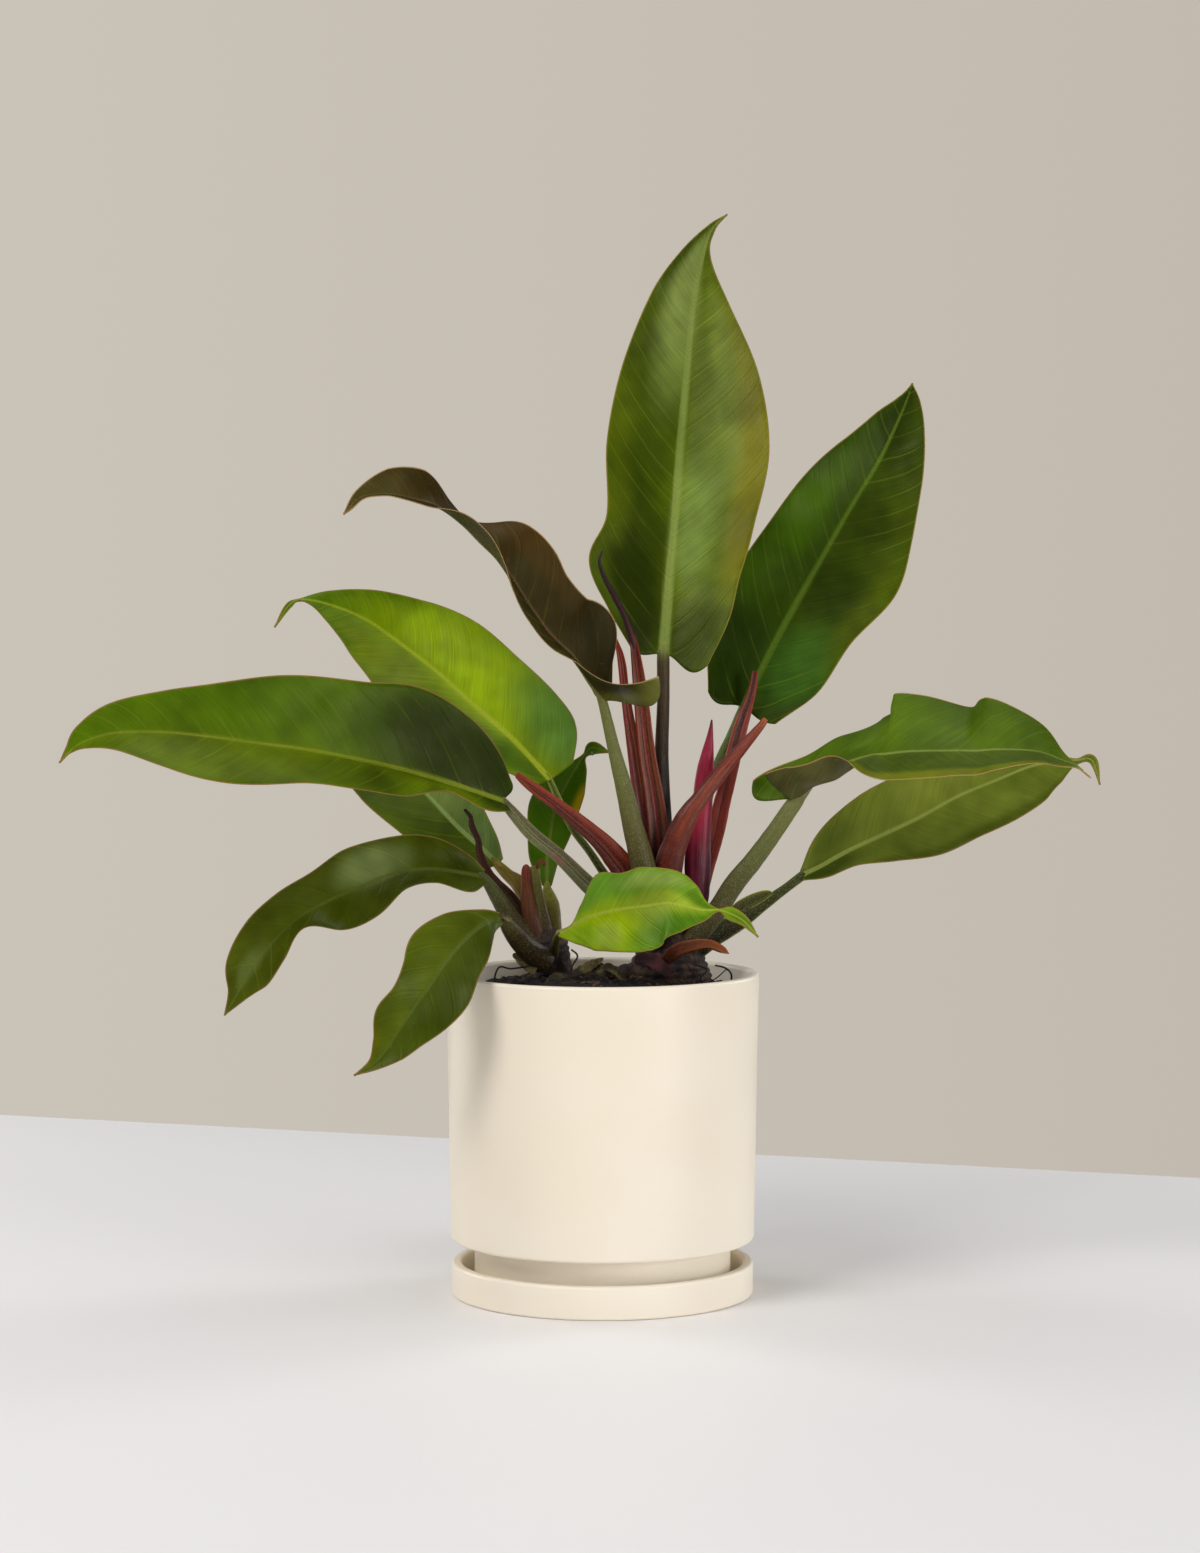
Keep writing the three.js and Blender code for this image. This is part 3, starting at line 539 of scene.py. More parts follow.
def leaf_middle(leaf, t, s):
    """A leaf's middle surface, in mm. t runs from base to tip and s from the left margin,
    -1, over the rib, 0, to the right margin, 1. Each half is an arc that leaves the rib
    at its fold angle and bends by its curl, so a point at reach r lies its chord,
    width r sin(b)/b, from the rib, in the direction fold + b, where b is half of curl r.
    Towards the base the halves sweep back in lobes by a squared sine of r, their corners
    are nipped in and drawn forward by the sixth power of r, and the margins wave by a
    sine along t that grows with r squared."""
    rows = leaf_rows(leaf)
    q = curve(rows, t)
    ahead, across, front = (v[:, None] for v in axes(rows, t))
    turn = np.radians(q[:, 5])[:, None, None]
    side = across * np.cos(turn) + front * np.sin(turn)
    face = front * np.cos(turn) - across * np.sin(turn)
    right = (s >= 0)[None, :, None]
    reach = np.abs(s)[None, :, None]

    def of_half(column):
        """Each half's own value: the left's from this column, the right's from the next."""
        return np.where(right, q[:, column + 1][:, None, None], q[:, column][:, None, None])

    fade = np.maximum(1 - t / leaf["lobe_span"], 0)[:, None, None] ** 2
    corner = np.where(right, leaf["corners"][1], leaf["corners"][0])
    width = np.maximum(of_half(3) * (1 - CORNER_NIP * corner * fade**2), LEAST_HALF_WIDTH)
    bend = np.radians(of_half(8)) * reach / 2
    angle = np.radians(of_half(6)) + bend
    chord = width * reach * np.sinc(bend / np.pi)
    points = q[:, None, :3] + side * chord * np.cos(angle) * np.where(right, 1, -1)
    points = points + face * chord * np.sin(angle)
    lobe = np.where(right, leaf["lobes"][1], leaf["lobes"][0])
    points = points - ahead * lobe * np.sin(np.pi * reach / LOBE_ARC) ** 2 * fade
    points = points + ahead * corner * reach**6 * fade
    height, waves, start = leaf["ruffle"]
    along = t[:, None, None]
    phase = 2 * np.pi * waves * along + math.radians(start) + np.where(right, 0, RUFFLE_LAG)
    wave = height * np.sin(phase) * reach**2 * np.sin(np.pi * along) ** RUFFLE_ENDS
    points = points + face * wave
    return points, width[..., 0] * reach[..., 0], width[..., 0] * (1 - reach[..., 0])


def leaf_blade(name, leaf, look, seed):
    """A leaf: its middle surface thickened along its normals. The rib stands proud as a
    bell curve across each face, and between the side veins, which leave the rib at a slant
    and sweep towards the tip, the blade swells by a cosine."""
    t = np.linspace(0, 1, BLADE_ROWS)
    spread = np.linspace(-1, 1, BLADE_COLUMNS)
    s = np.sign(spread) * np.abs(spread) ** COLUMN_CROWDING
    points, from_rib, from_edge = leaf_middle(leaf, t, s)
    rib = points[:, BLADE_COLUMNS // 2]
    along = run_of(rib)
    reach = np.abs(s)[None]
    broad = from_rib + from_edge
    vein = along - VEIN_SLANT * from_rib - VEIN_SWEEP * broad * reach**3
    normal = unit(np.cross(np.gradient(points, axis=1), np.gradient(points, axis=0)))
    flat = points
    rib_half = (look["rib_base"] * (1 - t) ** RIB_TAPER + RIB_TIP_HALF)[:, None]
    ridge = np.exp(-((from_rib / rib_half) ** 2))
    open_blade = np.sin(np.pi * np.clip(reach, 0, 1)) ** 0.6 * np.minimum(broad / SWELL_BREADTH, 1)
    swell = VEIN_SWELL * np.cos(2 * np.pi * vein / VEIN_PITCH) * open_blade
    crinkle = look["crinkle"] * lumps(points, CRINKLE_SIZE, seed) * smooth(reach, 0.1, 0.9)
    points = points + normal * (swell + crinkle * open_blade)[..., None]
    taper = (1 - EDGE_THINNING * smooth(reach, 0.85, 1)) * BLADE_HALF_THICKNESS
    upper = points + normal * (taper + RIB_ABOVE * rib_half * ridge)[..., None]
    lower = points - normal * (taper + RIB_BELOW * rib_half * ridge)[..., None]
    right = points[:, -1] + unit(points[:, -1] - points[:, -2]) * EDGE_OVERHANG
    left = points[:, 0] + unit(points[:, 0] - points[:, 1]) * EDGE_OVERHANG
    rings = wrap(upper, right, lower, left)

    def noted(values):
        """Values over the blade as one for each point of the skin, alike on both faces."""
        whole = np.broadcast_to(values, from_rib.shape)
        return wrap(whole, whole[:, -1], whole, whole[:, 0]).ravel()

    upper_tint, lower_tint = leaf_tint(look, flat, t, s, from_rib, rib_half)
    tint = wrap(upper_tint, upper_tint[:, -1], lower_tint, upper_tint[:, 0])
    notes = {
        "tint": tint.reshape(-1, 3),
        "place": np.column_stack([noted(from_rib * np.sign(s)), noted(along), noted(vein)]),
        "edge": noted(from_edge),
    }
    faces = ring_faces(*rings.shape[:2])
    return make_mesh(name, rings * MM + PLANT_FOOT, faces, leaf_finish(name, look), notes)


# ---------------------------------------------------------------- stalks and sheaths

STEM_RINGS = 80
STEM_COLUMNS = 31
STEM_LEAST_HALF = 0.3
# The share of a stem's rings that are evenly spaced; the rest crowd towards its ends.
EVEN_RINGS = 0.3
# How far an end's ring stands in from a point, in half-widths.
END_OPENING = 0.06
# A lengthwise line: its depth in mm, the share of its half-width that is full, and how
# far along the stem it fades beyond and within its start and end.
LINE_DIP = 0.3
LINE_FULL = 0.45
LINE_BEYOND = 0.05
LINE_WITHIN = 0.02
# Random relief: its size in mm and its height in half-widths, and how far and over what
# length a ripple's crests stray.
GRAIN_SIZE = 7
GRAIN_HEIGHT = 0.012
RIPPLE_STRAY = 0.8
RIPPLE_STRAY_SIZE = 9


def stem_angles(columns):
    """The angles of the front's points, left to right seen from the front."""
    return np.linspace(0, np.pi, columns + 2)[1:-1][::-1]


def line_share(line, x, t):
    """How much of a lengthwise line lies at each place: 1 on it, fading to 0 at its
    half-width across, x, and at its start and end along the stem, t."""
    middle, half, start, end = line[:4]
    across = 1 - smooth(np.abs(x - middle) / half, LINE_FULL, 1)
    begun = smooth(t, start - LINE_BEYOND, start + LINE_WITHIN)
    along = begun * (1 - smooth(t, end - LINE_WITHIN, end + LINE_BEYOND))
    return along[:, None] * across[None]


def stem_steps(rings):
    """Places along a stem from 0 to 1, closer together towards both ends."""
    even = np.linspace(0, 1, rings)
    return EVEN_RINGS * even + (1 - EVEN_RINGS) / 2 * (1 - np.cos(np.pi * even))


def stem(name, rows, finish, depth=0.85, channel=0, rings=70, columns=15, ripple=None, seed=1,
         tint=None, lines=()):
    """An oval section carried along a curve whose rows are x, y, z and width, in mm.
    Across the section x is the cosine of an angle, the rear is minus its sine and the front
    is its sine sunk by the channel, sin (1 - channel sin squared), and by each line's dip.
    Both ends are rounded as half an ellipse as deep as the first ring's half-width. ripple is
    a swelling along the length: its height as a share of the width, and its pitch."""
    t = stem_steps(rings)
    q = curve(rows, t)
    across, front = (v[:, None] for v in axes(rows, t)[1:])
    angle = stem_angles(columns)
    x, high = np.cos(angle), np.sin(angle)
    half = np.maximum(q[:, 3:] / 2, STEM_LEAST_HALF)
    along = run_of(q[:, :3])
    to_end = np.minimum(along, along[-1] - along) / half[0]
    half = half * np.sqrt(1 - (1 - np.clip(to_end + END_OPENING, 0, 1)) ** 2)
    if ripple:
        share, pitch = ripple
        stray = RIPPLE_STRAY * lumps(q[:, :3], RIPPLE_STRAY_SIZE, seed)
        wave = np.abs(np.sin(np.pi * along[:, 0] / pitch + stray))
        half = half * (1 + share * (wave[:, None] - 0.5))
    top = half * depth * high * (1 - channel * high**2)
    for line in lines:
        top = top - LINE_DIP * line_share(line, x, t)

    def round_section(sides, tops):
        """Places in the section, from the share out to each side and the height in mm."""
        local = np.stack(np.broadcast_arrays(half * sides, tops, along), -1)
        return local, q[:, None, :3] + across * local[..., :1] + front * local[..., 1:2]

    rear = -half * depth * high
    parts = ((x, top), (1.0, 0.0), (x, rear), (-1.0, 0.0))
    upper, right, lower, left = (round_section(sides, tops) for sides, tops in parts)
    local = wrap(upper[0], right[0][:, 0], lower[0], left[0][:, 0])
    skin = wrap(upper[1], right[1][:, 0], lower[1], left[1][:, 0])
    grain = lumps(skin, GRAIN_SIZE, seed)[..., None] * GRAIN_HEIGHT * half[:, :, None]
    skin = skin + unit(skin - q[:, None, :3]) * grain
    notes = {"place": local.reshape(-1, 3)}
    if tint is not None:
        notes["tint"] = tint.reshape(-1, 3)
    faces = ring_faces(*skin.shape[:2])
    return make_mesh(name, skin * MM + PLANT_FOOT, faces, finish, notes)


# ---------------------------------------------------------------- colours


def colour(code):
    """A six-figure hex colour as linear red, green and blue."""
    value = np.array([int(code[i : i + 2], 16) for i in (0, 2, 4)]) / 255
    return np.where(value <= 0.04045, value / 12.92, ((value + 0.055) / 1.055) ** 2.4)


def blend(a, b, share):
    """Colours a turned towards b by a share of each."""
    return a + (b - a) * np.asarray(share)[..., None]


# Each leaf's colours: its left and right halves, the glow along the rib and how far
# it reaches in mm, the rib and its half-width at the base, the lower face, the margin,
# and spots of another colour: where along and across, how far each way, and how strong.
# Part of this is painted light: the two halves of the tall centre leaf differ by painted
# shade and sheen, the hidden back leaf's pale right half is a painted sheen, the darkest
# spots near the leaves' bases are painted shade and the pale grey-green spots painted
# highlights. The rest is the leaves' own colour.
LOOK = {
    "left": "42500c", "right": "46560e", "glow": "66781a", "glow_reach": 5, "glow_share": 0.35,
    "rib": "76863a", "rib_base": 2.0, "under": "4c5224", "under_rib": "6b7040",
    "margin": "8a6a3c", "crinkle": 0.5, "rough": 0.34, "veins": 0.5, "colour_and_light_spots": [],
    "under_spots": [],
}
LEAF_LOOKS = {
    "tall_centre": {
        # The darker left half carries painted shade and the lighter right half a painted sheen.
        **LOOK, "left": "43540a", "right": "5c6e1e", "rib": "7d8c44", "rib_base": 4.4,
        "margin": "8a7434", "crinkle": 0.9, "veins": 0.8,
        # Spots: the darkest near the base are painted shade, the pale grey-green ones painted
        # highlights.
        "colour_and_light_spots": [
            (0.16, -0.55, 0.28, 0.8, "1f2a02", 0.85), (0.17, -0.95, 0.14, 0.3, "56681a", 0.7),
            (0.7, -0.25, 0.24, 0.6, "8a9c62", 0.85), (0.42, -0.9, 0.25, 0.4, "5c6a10", 0.6),
            (0.55, 0.6, 0.22, 0.5, "7f8c4c", 0.6), (0.33, 0.25, 0.16, 0.4, "7c9454", 0.7),
            (0.42, 0.9, 0.36, 0.35, "86781e", 0.6), (0.55, 0.2, 0.12, 0.3, "4a5a1c", 0.5),
            (0.05, 0.5, 0.16, 0.8, "333d14", 0.8), (0.9, 0.5, 0.1, 0.8, "4c5c18", 0.5),
        ],
    },
    "right_upper": {
        **LOOK, "left": "324a04", "right": "36460a", "rib": "587020", "rib_base": 2.6,
        "margin": "8a7434", "glow_share": 0.1, "veins": 0.6,
        # The near-black spot near the base is painted shade.
        "colour_and_light_spots": [
            (0.1, -0.4, 0.22, 0.8, "1f3200", 0.8), (0.42, -0.7, 0.25, 0.6, "4c7010", 0.7),
            (0.14, 0.5, 0.16, 0.8, "43702a", 0.7), (0.85, -0.1, 0.3, 0.9, "1f2c06", 0.75),
            (0.5, 0.9, 0.3, 0.5, "4a5a10", 0.5), (0.33, 0.4, 0.1, 0.7, "283a06", 0.6),
            (0.3, 0.95, 0.16, 0.4, "5c6c0a", 0.6),
        ],
    },
    "twisted_bronze": {
        **LOOK, "left": "33280f", "right": "3a2c16", "glow": "4f3c24", "glow_share": 0.4,
        "rib": "6b5138", "rib_base": 1.8, "under": "433c16", "under_rib": "7a7d44",
        "margin": "b08c5c", "rough": 0.42, "crinkle": 0.3, "veins": 0.8,
        "colour_and_light_spots": [
            (0.95, 0, 0.22, 1.5, "5c5230", 0.8), (0.45, 0.8, 0.25, 0.5, "4a341c", 0.7),
            (0.13, 0.7, 0.12, 0.6, "1f1608", 0.7), (0.3, -0.6, 0.3, 0.6, "3f3a20", 0.7),
        ],
        "under_spots": [
            (0.1, -0.5, 0.09, 1.2, "281e0a", 0.9), (0.0, -0.7, 0.07, 0.9, "6b6e3c", 0.9),
        ],
    },
    "bright_left": {
        **LOOK, "left": "547404", "right": "567606", "glow": "8a9a08", "glow_reach": 14,
        "glow_share": 0.7, "rib": "93a022", "rib_base": 2.4, "under": "5c6f1c", "veins": 0.6,
        "colour_and_light_spots": [
            (0.35, 0.5, 0.35, 0.8, "98b408", 0.85), (0.88, 0, 0.3, 1.5, "42700e", 0.75),
            (0.14, 0.75, 0.18, 0.8, "568040", 0.8), (0.45, -0.6, 0.3, 0.6, "76820a", 0.6),
            (0.1, -0.4, 0.2, 0.6, "3c5c08", 0.7),
        ],
    },
    "long_left": {
        **LOOK, "left": "566a06", "right": "527008", "glow": "7a8a14", "glow_reach": 7,
        "glow_share": 0.35, "rib": "7a8424", "rib_base": 2.2, "margin": "94683c", "veins": 0.45,
        # The near-black spots at the base are painted shade.
        "colour_and_light_spots": [
            (0.14, 0.5, 0.3, 1.1, "1a2600", 0.95), (0.95, 0, 0.22, 1.5, "5c8008", 0.6),
            (0.6, -0.5, 0.3, 0.6, "60740c", 0.6), (0.35, -0.5, 0.14, 0.6, "3f4f10", 0.5),
            (0.02, -0.3, 0.12, 1.0, "26340c", 0.8),
        ],
    },
    "hidden_back": {
        # The pale grey-green right half is a painted sheen.
        **LOOK, "left": "4c5e10", "right": "708250", "rib": "869a58", "rib_base": 2.0,
        "colour_and_light_spots": [(0.15, 0.6, 0.25, 0.8, "5c7a4c", 0.6)],
    },
    "drooping_left": {
        **LOOK, "left": "4a540e", "right": "4c5610", "rib": "5c6428", "rib_base": 1.8,
        "rough": 0.28, "veins": 0.3,
        # The two pale grey-green spots are painted highlights; the dark one near the base is painted
        # shade.
        "colour_and_light_spots": [
            (0.35, 0.4, 0.14, 0.7, "84946c", 0.75), (0.8, 0.1, 0.12, 0.5, "7c8c5c", 0.4),
            (0.08, 0.3, 0.12, 1.0, "333d04", 0.7),
        ],
    },
    "drooping_front": {
        **LOOK, "left": "414e0e", "right": "566416", "rib": "525f28", "rib_base": 1.6,
        "veins": 0.35, "colour_and_light_spots": [(0.85, 0.9, 0.2, 0.5, "6b6408", 0.7)],
    },
    "small_upright": {
        **LOOK, "left": "4f7c14", "right": "4a7410", "rib_base": 1.4,
        "colour_and_light_spots": [
            (0.5, 1.0, 0.14, 0.5, "d4b40c", 0.95), (0.4, -0.5, 0.2, 0.6, "4a7214", 0.5),
            (0.1, 0.4, 0.14, 0.8, "5c7a3c", 0.5),
        ],
    },
    "folded_right": {
        **LOOK, "left": "4f6a14", "right": "4c5f1c", "rib": "7d8c3c", "rib_base": 1.5,
        "under": "56543c", "under_rib": "908c74", "margin": "b08850", "veins": 0.7,
        "colour_and_light_spots": [
            (0.5, 0.9, 0.5, 0.25, "8a9018", 0.7), (0.9, -0.5, 0.12, 0.5, "6b7424", 0.7),
            (0.35, -0.5, 0.25, 0.5, "5f7c1c", 0.6),
        ],
    },
    "lower_right": {
        **LOOK, "left": "768236", "right": "6b7830", "rib": "8a9448", "rib_base": 1.5,
        "rough": 0.46, "veins": 0.45,
        # The near-black spot at the base is painted shade.
        "colour_and_light_spots": [
            (0.08, 0.4, 0.2, 1.0, "2e3a0a", 0.8), (0.5, 1.0, 0.5, 0.3, "44500a", 0.7),
            (0.9, 0, 0.2, 1.2, "4a5a10", 0.6), (0.15, -0.6, 0.12, 0.6, "3a4a14", 0.6),
        ],
    },
    "front_small": {
        **LOOK, "left": "6f9c2e", "right": "669028", "glow": "a0b424", "glow_reach": 7,
        "glow_share": 0.7, "rib": "a0ac3c", "rib_base": 1.0, "margin": "8a6a30",
        "rough": 0.26, "veins": 0.7,
        # The pale grey-green spots are painted highlights; the bright yellow-green one near the base is
        # the leaf's own colour.
        "colour_and_light_spots": [
            (0.2, 0.45, 0.32, 0.9, "a8c00c", 0.9), (0.28, -0.8, 0.2, 0.6, "5c8c34", 0.7),
            (0.92, 0, 0.14, 1.2, "4a5a20", 0.6), (0.55, 0.7, 0.3, 0.5, "4a7c1c", 0.7),
            (0.45, -0.7, 0.2, 0.35, "9cb070", 0.6), (0.25, 0.6, 0.1, 0.5, "a4bc64", 0.6),
            (0.5, -0.1, 0.24, 0.45, "a8bc4c", 0.7), (0.65, -0.5, 0.16, 0.5, "3f6a14", 0.7),
            (0.12, 0.5, 0.14, 0.6, "6f9c1c", 0.6),
        ],
    },
}

# All leaf colours are multiplied by this, and by 1 plus each mottling: its strength,
# size in mm and seed.
LEAF_TONE = (0.8, 0.79, 0.5)
MOTTLINGS = [(0.13, 38, 5), (0.07, 12, 6)]
# The share of a spot's size that is full, and how much the glow weakens to the tip.
SPOT_FULL = 0.3
GLOW_LOSS = 0.6
# How strongly the rib's colour shows above at the base, what it loses to the tip, and
# how strongly it shows below.
RIB_SHARE = 0.95
RIB_LOSS = 0.35
UNDER_RIB_SHARE = 0.8


def spotted(base, colour_and_light_spots, t, s):
    """The base colours under soft-edged oval spots, among them painted shade and painted
    highlights: each is strongest at its middle and fades out at its own length along the
    leaf and breadth across it."""
    for along, across, length, breadth, code, share in colour_and_light_spots:
        far = np.hypot((t[:, None] - along) / length, (s[None] - across) / breadth)
        base = blend(base, colour(code), share * (1 - smooth(far, SPOT_FULL, 1)))
    return base


def leaf_tint(look, points, t, s, from_rib, rib_half):
    """Colours of the upper and lower face: the two halves, the glow fading from the rib
    as an exponential, round spots with soft edges, among them painted shade and painted
    highlights, slow mottling and the rib itself."""
    halves = blend(colour(look["left"]), colour(look["right"]), smooth(s, -0.04, 0.04)[None])
    upper = np.broadcast_to(halves, from_rib.shape + (3,))
    fade = np.exp(-from_rib / look["glow_reach"]) * (1 - GLOW_LOSS * t[:, None])
    upper = blend(upper, colour(look["glow"]), fade * look["glow_share"])
    upper = spotted(upper, look["colour_and_light_spots"], t, s)
    lower = np.broadcast_to(colour(look["under"]), upper.shape)
    lower = spotted(lower, look["under_spots"], t, s)
    mottle = 1 + sum(share * lumps(points, size, seed) for share, size, seed in MOTTLINGS)
    mottle = mottle[..., None] * np.array(LEAF_TONE)
    on_rib = 1 - smooth(from_rib / rib_half, 0.55, 1.05)
    rib_share = on_rib * (RIB_SHARE - RIB_LOSS * t[:, None])
    upper = blend(upper * mottle, colour(look["rib"]), rib_share)
    lower = blend(lower * mottle, colour(look["under_rib"]), on_rib * UNDER_RIB_SHARE)
    return upper, lower


# ---------------------------------------------------------------- finishes

# The Mix node's sockets for colours.
MIX_A, MIX_B, MIX_OUT = 6, 7, 2


class Finish:
    """A node material made step by step. A step takes sockets or plain values."""

    def __init__(self, name):
        self.material = bpy.data.materials.new(name)
        self.material.use_nodes = True
        self.nodes = self.material.node_tree.nodes
        self.links = self.material.node_tree.links
        self.shader = self.nodes["Principled BSDF"]

    def give(self, socket, value):
        if isinstance(value, bpy.types.NodeSocket):
            self.links.new(value, socket)
        elif socket.type == "RGBA" and len(value) == 3:
            socket.default_value = (*value, 1)
        else:
            socket.default_value = value

    def node(self, kind, **settings):
        node = self.nodes.new("ShaderNode" + kind)
        for key, value in settings.items():
            setattr(node, key, value)
        return node

    def noted(self, name, output="Vector"):
        return self.node("Attribute", attribute_name=name).outputs[output]

    def apart(self, vector):
        node = self.node("SeparateXYZ")
        self.give(node.inputs[0], vector)
        return node.outputs

    def sum(self, operation, a, b=0.0, c=0.0):
        node = self.node("Math", operation=operation)
        for socket, value in zip(node.inputs, (a, b, c)):
            self.give(socket, value)
        return node.outputs[0]

    def mix(self, share, a, b, how="MIX"):
        node = self.node("Mix", data_type="RGBA", blend_type=how)
        self.give(node.inputs[0], share)
        self.give(node.inputs[MIX_A], a)
        self.give(node.inputs[MIX_B], b)
        return node.outputs[MIX_OUT]

    def toned(self, skin, tone):
        return self.mix(1.0, skin, tone, "MULTIPLY")

    def step(self, value, low, high, bottom=0.0, top=1.0):
        node = self.node("MapRange", interpolation_type="SMOOTHSTEP")
        for key, number in zip(range(5), (value, low, high, bottom, top)):
            self.give(node.inputs[key], number)
        return node.outputs[0]

    def noise(self, vector, scale, detail=3.0, rough=0.5):
        node = self.node("TexNoise")
        self.give(node.inputs["Vector"], vector)
        node.inputs["Scale"].default_value = scale
        node.inputs["Detail"].default_value = detail
        node.inputs["Roughness"].default_value = rough
        return node.outputs["Fac"]

    def stretch(self, vector, scale):
        node = self.node("Mapping")
        self.give(node.inputs["Vector"], vector)
        node.inputs["Scale"].default_value = scale
        return node.outputs[0]

    def place(self):
        return self.node("TexCoord").outputs["Object"]

    def bump(self, height, strength, distance):
        node = self.node("Bump")
        node.inputs["Strength"].default_value = strength
        node.inputs["Distance"].default_value = distance
        self.give(node.inputs["Height"], height)
        self.give(self.shader.inputs["Normal"], node.outputs[0])

    def set(self, **values):
        for key, value in values.items():
            self.give(self.shader.inputs[key.replace("_", " ")], value)
        return self.material


def leaf_finish(name, look):
    """Waxy leaf skin: the noted colours, irregular hair-fine streaks and a few stronger
    side veins along the slanting vein lines, flecks, a thin margin and an uneven gloss."""
    f = Finish(name)
    tint = f.noted("tint", "Color")
    place = f.noted("place")
    vein = f.apart(place)[2]
    streak = f.noise(f.stretch(place, (0.035, 0.0, 1.0)), 0.75, 3, 0.6)
    hair = f.noise(f.stretch(place, (0.08, 0.0, 1.0)), 2.2, 2)
    line = f.sum("MULTIPLY_ADD", f.noise(f.place(), 30), 5.0, vein)
    wave = f.sum("COSINE", f.sum("MULTIPLY", line, 2 * math.pi / VEIN_PITCH))
    side = f.sum("POWER", f.sum("MULTIPLY_ADD", wave, 0.5, 0.5), 60.0)
    dark = f.toned(tint, (0.66, 0.7, 0.55))
    light = f.toned(tint, (1.45, 1.4, 1.0))
    skin = f.mix(f.step(streak, 0.5, 0.3, 0.0, look["veins"]), tint, dark)
    skin = f.mix(f.step(streak, 0.52, 0.7, 0.0, 0.8 * look["veins"]), skin, light)
    skin = f.mix(f.step(hair, 0.5, 0.7, 0.0, 0.35 * look["veins"]), skin, light)
    faint = f.step(f.noise(f.place(), 22, 2), 0.4, 0.65, 0.0, 0.13)
    skin = f.mix(f.sum("MULTIPLY", side, faint), skin, (0.3, 0.38, 0.03))
    shade = f.step(f.noise(f.place(), 26, 4), 0.4, 0.7, 0.0, 0.45)
    skin = f.mix(shade, skin, f.toned(skin, (0.62, 0.68, 0.5)))
    fleck = f.step(f.noise(f.place(), 420, 2), 0.7, 0.78, 0.0, 0.2)
    skin = f.mix(fleck, skin, (0.2, 0.25, 0.03))
    margin = f.step(f.noted("edge", "Fac"), 0.65, 0.15, 0.0, 0.7)
    skin = f.mix(margin, skin, colour(look["margin"]))
    height = f.sum("MULTIPLY_ADD", side, -0.7, f.sum("MULTIPLY", streak, 0.9))
    height = f.sum("MULTIPLY_ADD", f.noise(f.place(), 900, 2), 0.35, height)
    f.bump(height, 0.4, 0.0004)
    gloss = f.step(f.noise(f.place(), 45), 0.3, 0.75, look["rough"] - 0.05, look["rough"] + 0.1)
    return f.set(
        Base_Color=skin, Roughness=gloss, Specular_IOR_Level=0.1, Specular_Tint=(0.95, 1.0, 0.5),
    )


def stem_finish(name, fleck="8b8c5c", fleck_share=0.35, streak=0.3, rough=0.5, coat=0.0):
    """Stalk and sheath skin: the noted colours, long streaks that follow the stem, fine
    flecks of another colour and a low fibrous relief."""
    f = Finish(name)
    tint = f.noted("tint", "Color")
    strand = f.stretch(f.noted("place"), (1.0, 1.0, 0.045))
    fibre = f.noise(strand, 1.3, 3)
    dark = f.step(fibre, 0.42, 0.68, 0.0, streak)
    skin = f.mix(dark, tint, f.toned(tint, (0.3, 0.26, 0.22)))
    light = f.step(f.noise(strand, 2.3, 2), 0.55, 0.75, 0.0, streak * 0.6)
    skin = f.mix(light, skin, f.toned(skin, (1.9, 1.7, 1.35)))
    spot = f.noise(f.stretch(f.noted("place"), (1.0, 1.0, 0.6)), 1.9, 2, 0.6)
    skin = f.mix(f.step(spot, 0.52, 0.62, 0.0, fleck_share), skin, colour(fleck))
    height = f.sum("MULTIPLY_ADD", fibre, 1.0, f.sum("MULTIPLY", spot, 0.35))
    f.bump(height, 0.45, 0.0005)
    gloss = f.step(f.noise(f.place(), 120), 0.3, 0.7, rough - 0.06, rough + 0.1)
    return f.set(
        Base_Color=skin, Roughness=gloss, Specular_IOR_Level=0.25, Coat_Weight=coat,
        Coat_Roughness=0.3,
    )


def husk_finish(name, dark, light):
    """Old bark and dry husk: dark and light brown in torn patches over a rough relief."""
    f = Finish(name)
    grain = f.noise(f.place(), 220, 6, 0.65)
    patch = f.noise(f.place(), 70, 4)
    tone = f.sum("MULTIPLY_ADD", patch, 0.6, f.sum("MULTIPLY", grain, 0.5))
    skin = f.mix(f.step(tone, 0.48, 0.72), colour(dark), colour(light))
    f.bump(grain, 0.9, 0.0012)
    return f.set(Base_Color=skin, Roughness=0.85)


def soil_finish():
    """Damp potting soil: near-black with brown crumbs."""
    f = Finish("potting_soil")
    crumb = f.noise(f.place(), 700, 5, 0.7)
    patch = f.noise(f.place(), 90, 3)
    skin = f.mix(f.step(crumb, 0.5, 0.72), colour("120c0a"), colour("3a2920"))
    skin = f.mix(f.step(patch, 0.5, 0.7, 0.0, 0.5), skin, colour("0c0807"))
    f.bump(crumb, 1.0, 0.0016)
    return f.set(Base_Color=skin, Roughness=0.95)


def chip_finish():
    """Bark chips: each its own noted brown, with a fibrous grain."""
    f = Finish("bark_chips")
    grain = f.noise(f.place(), 900, 4, 0.6)
    tint = f.noted("tint", "Color")
    dark = f.step(grain, 0.4, 0.7, 0.0, 0.7)
    skin = f.mix(dark, tint, f.toned(tint, (0.35, 0.3, 0.28)))
    f.bump(grain, 0.8, 0.0006)
    return f.set(Base_Color=skin, Roughness=0.88)


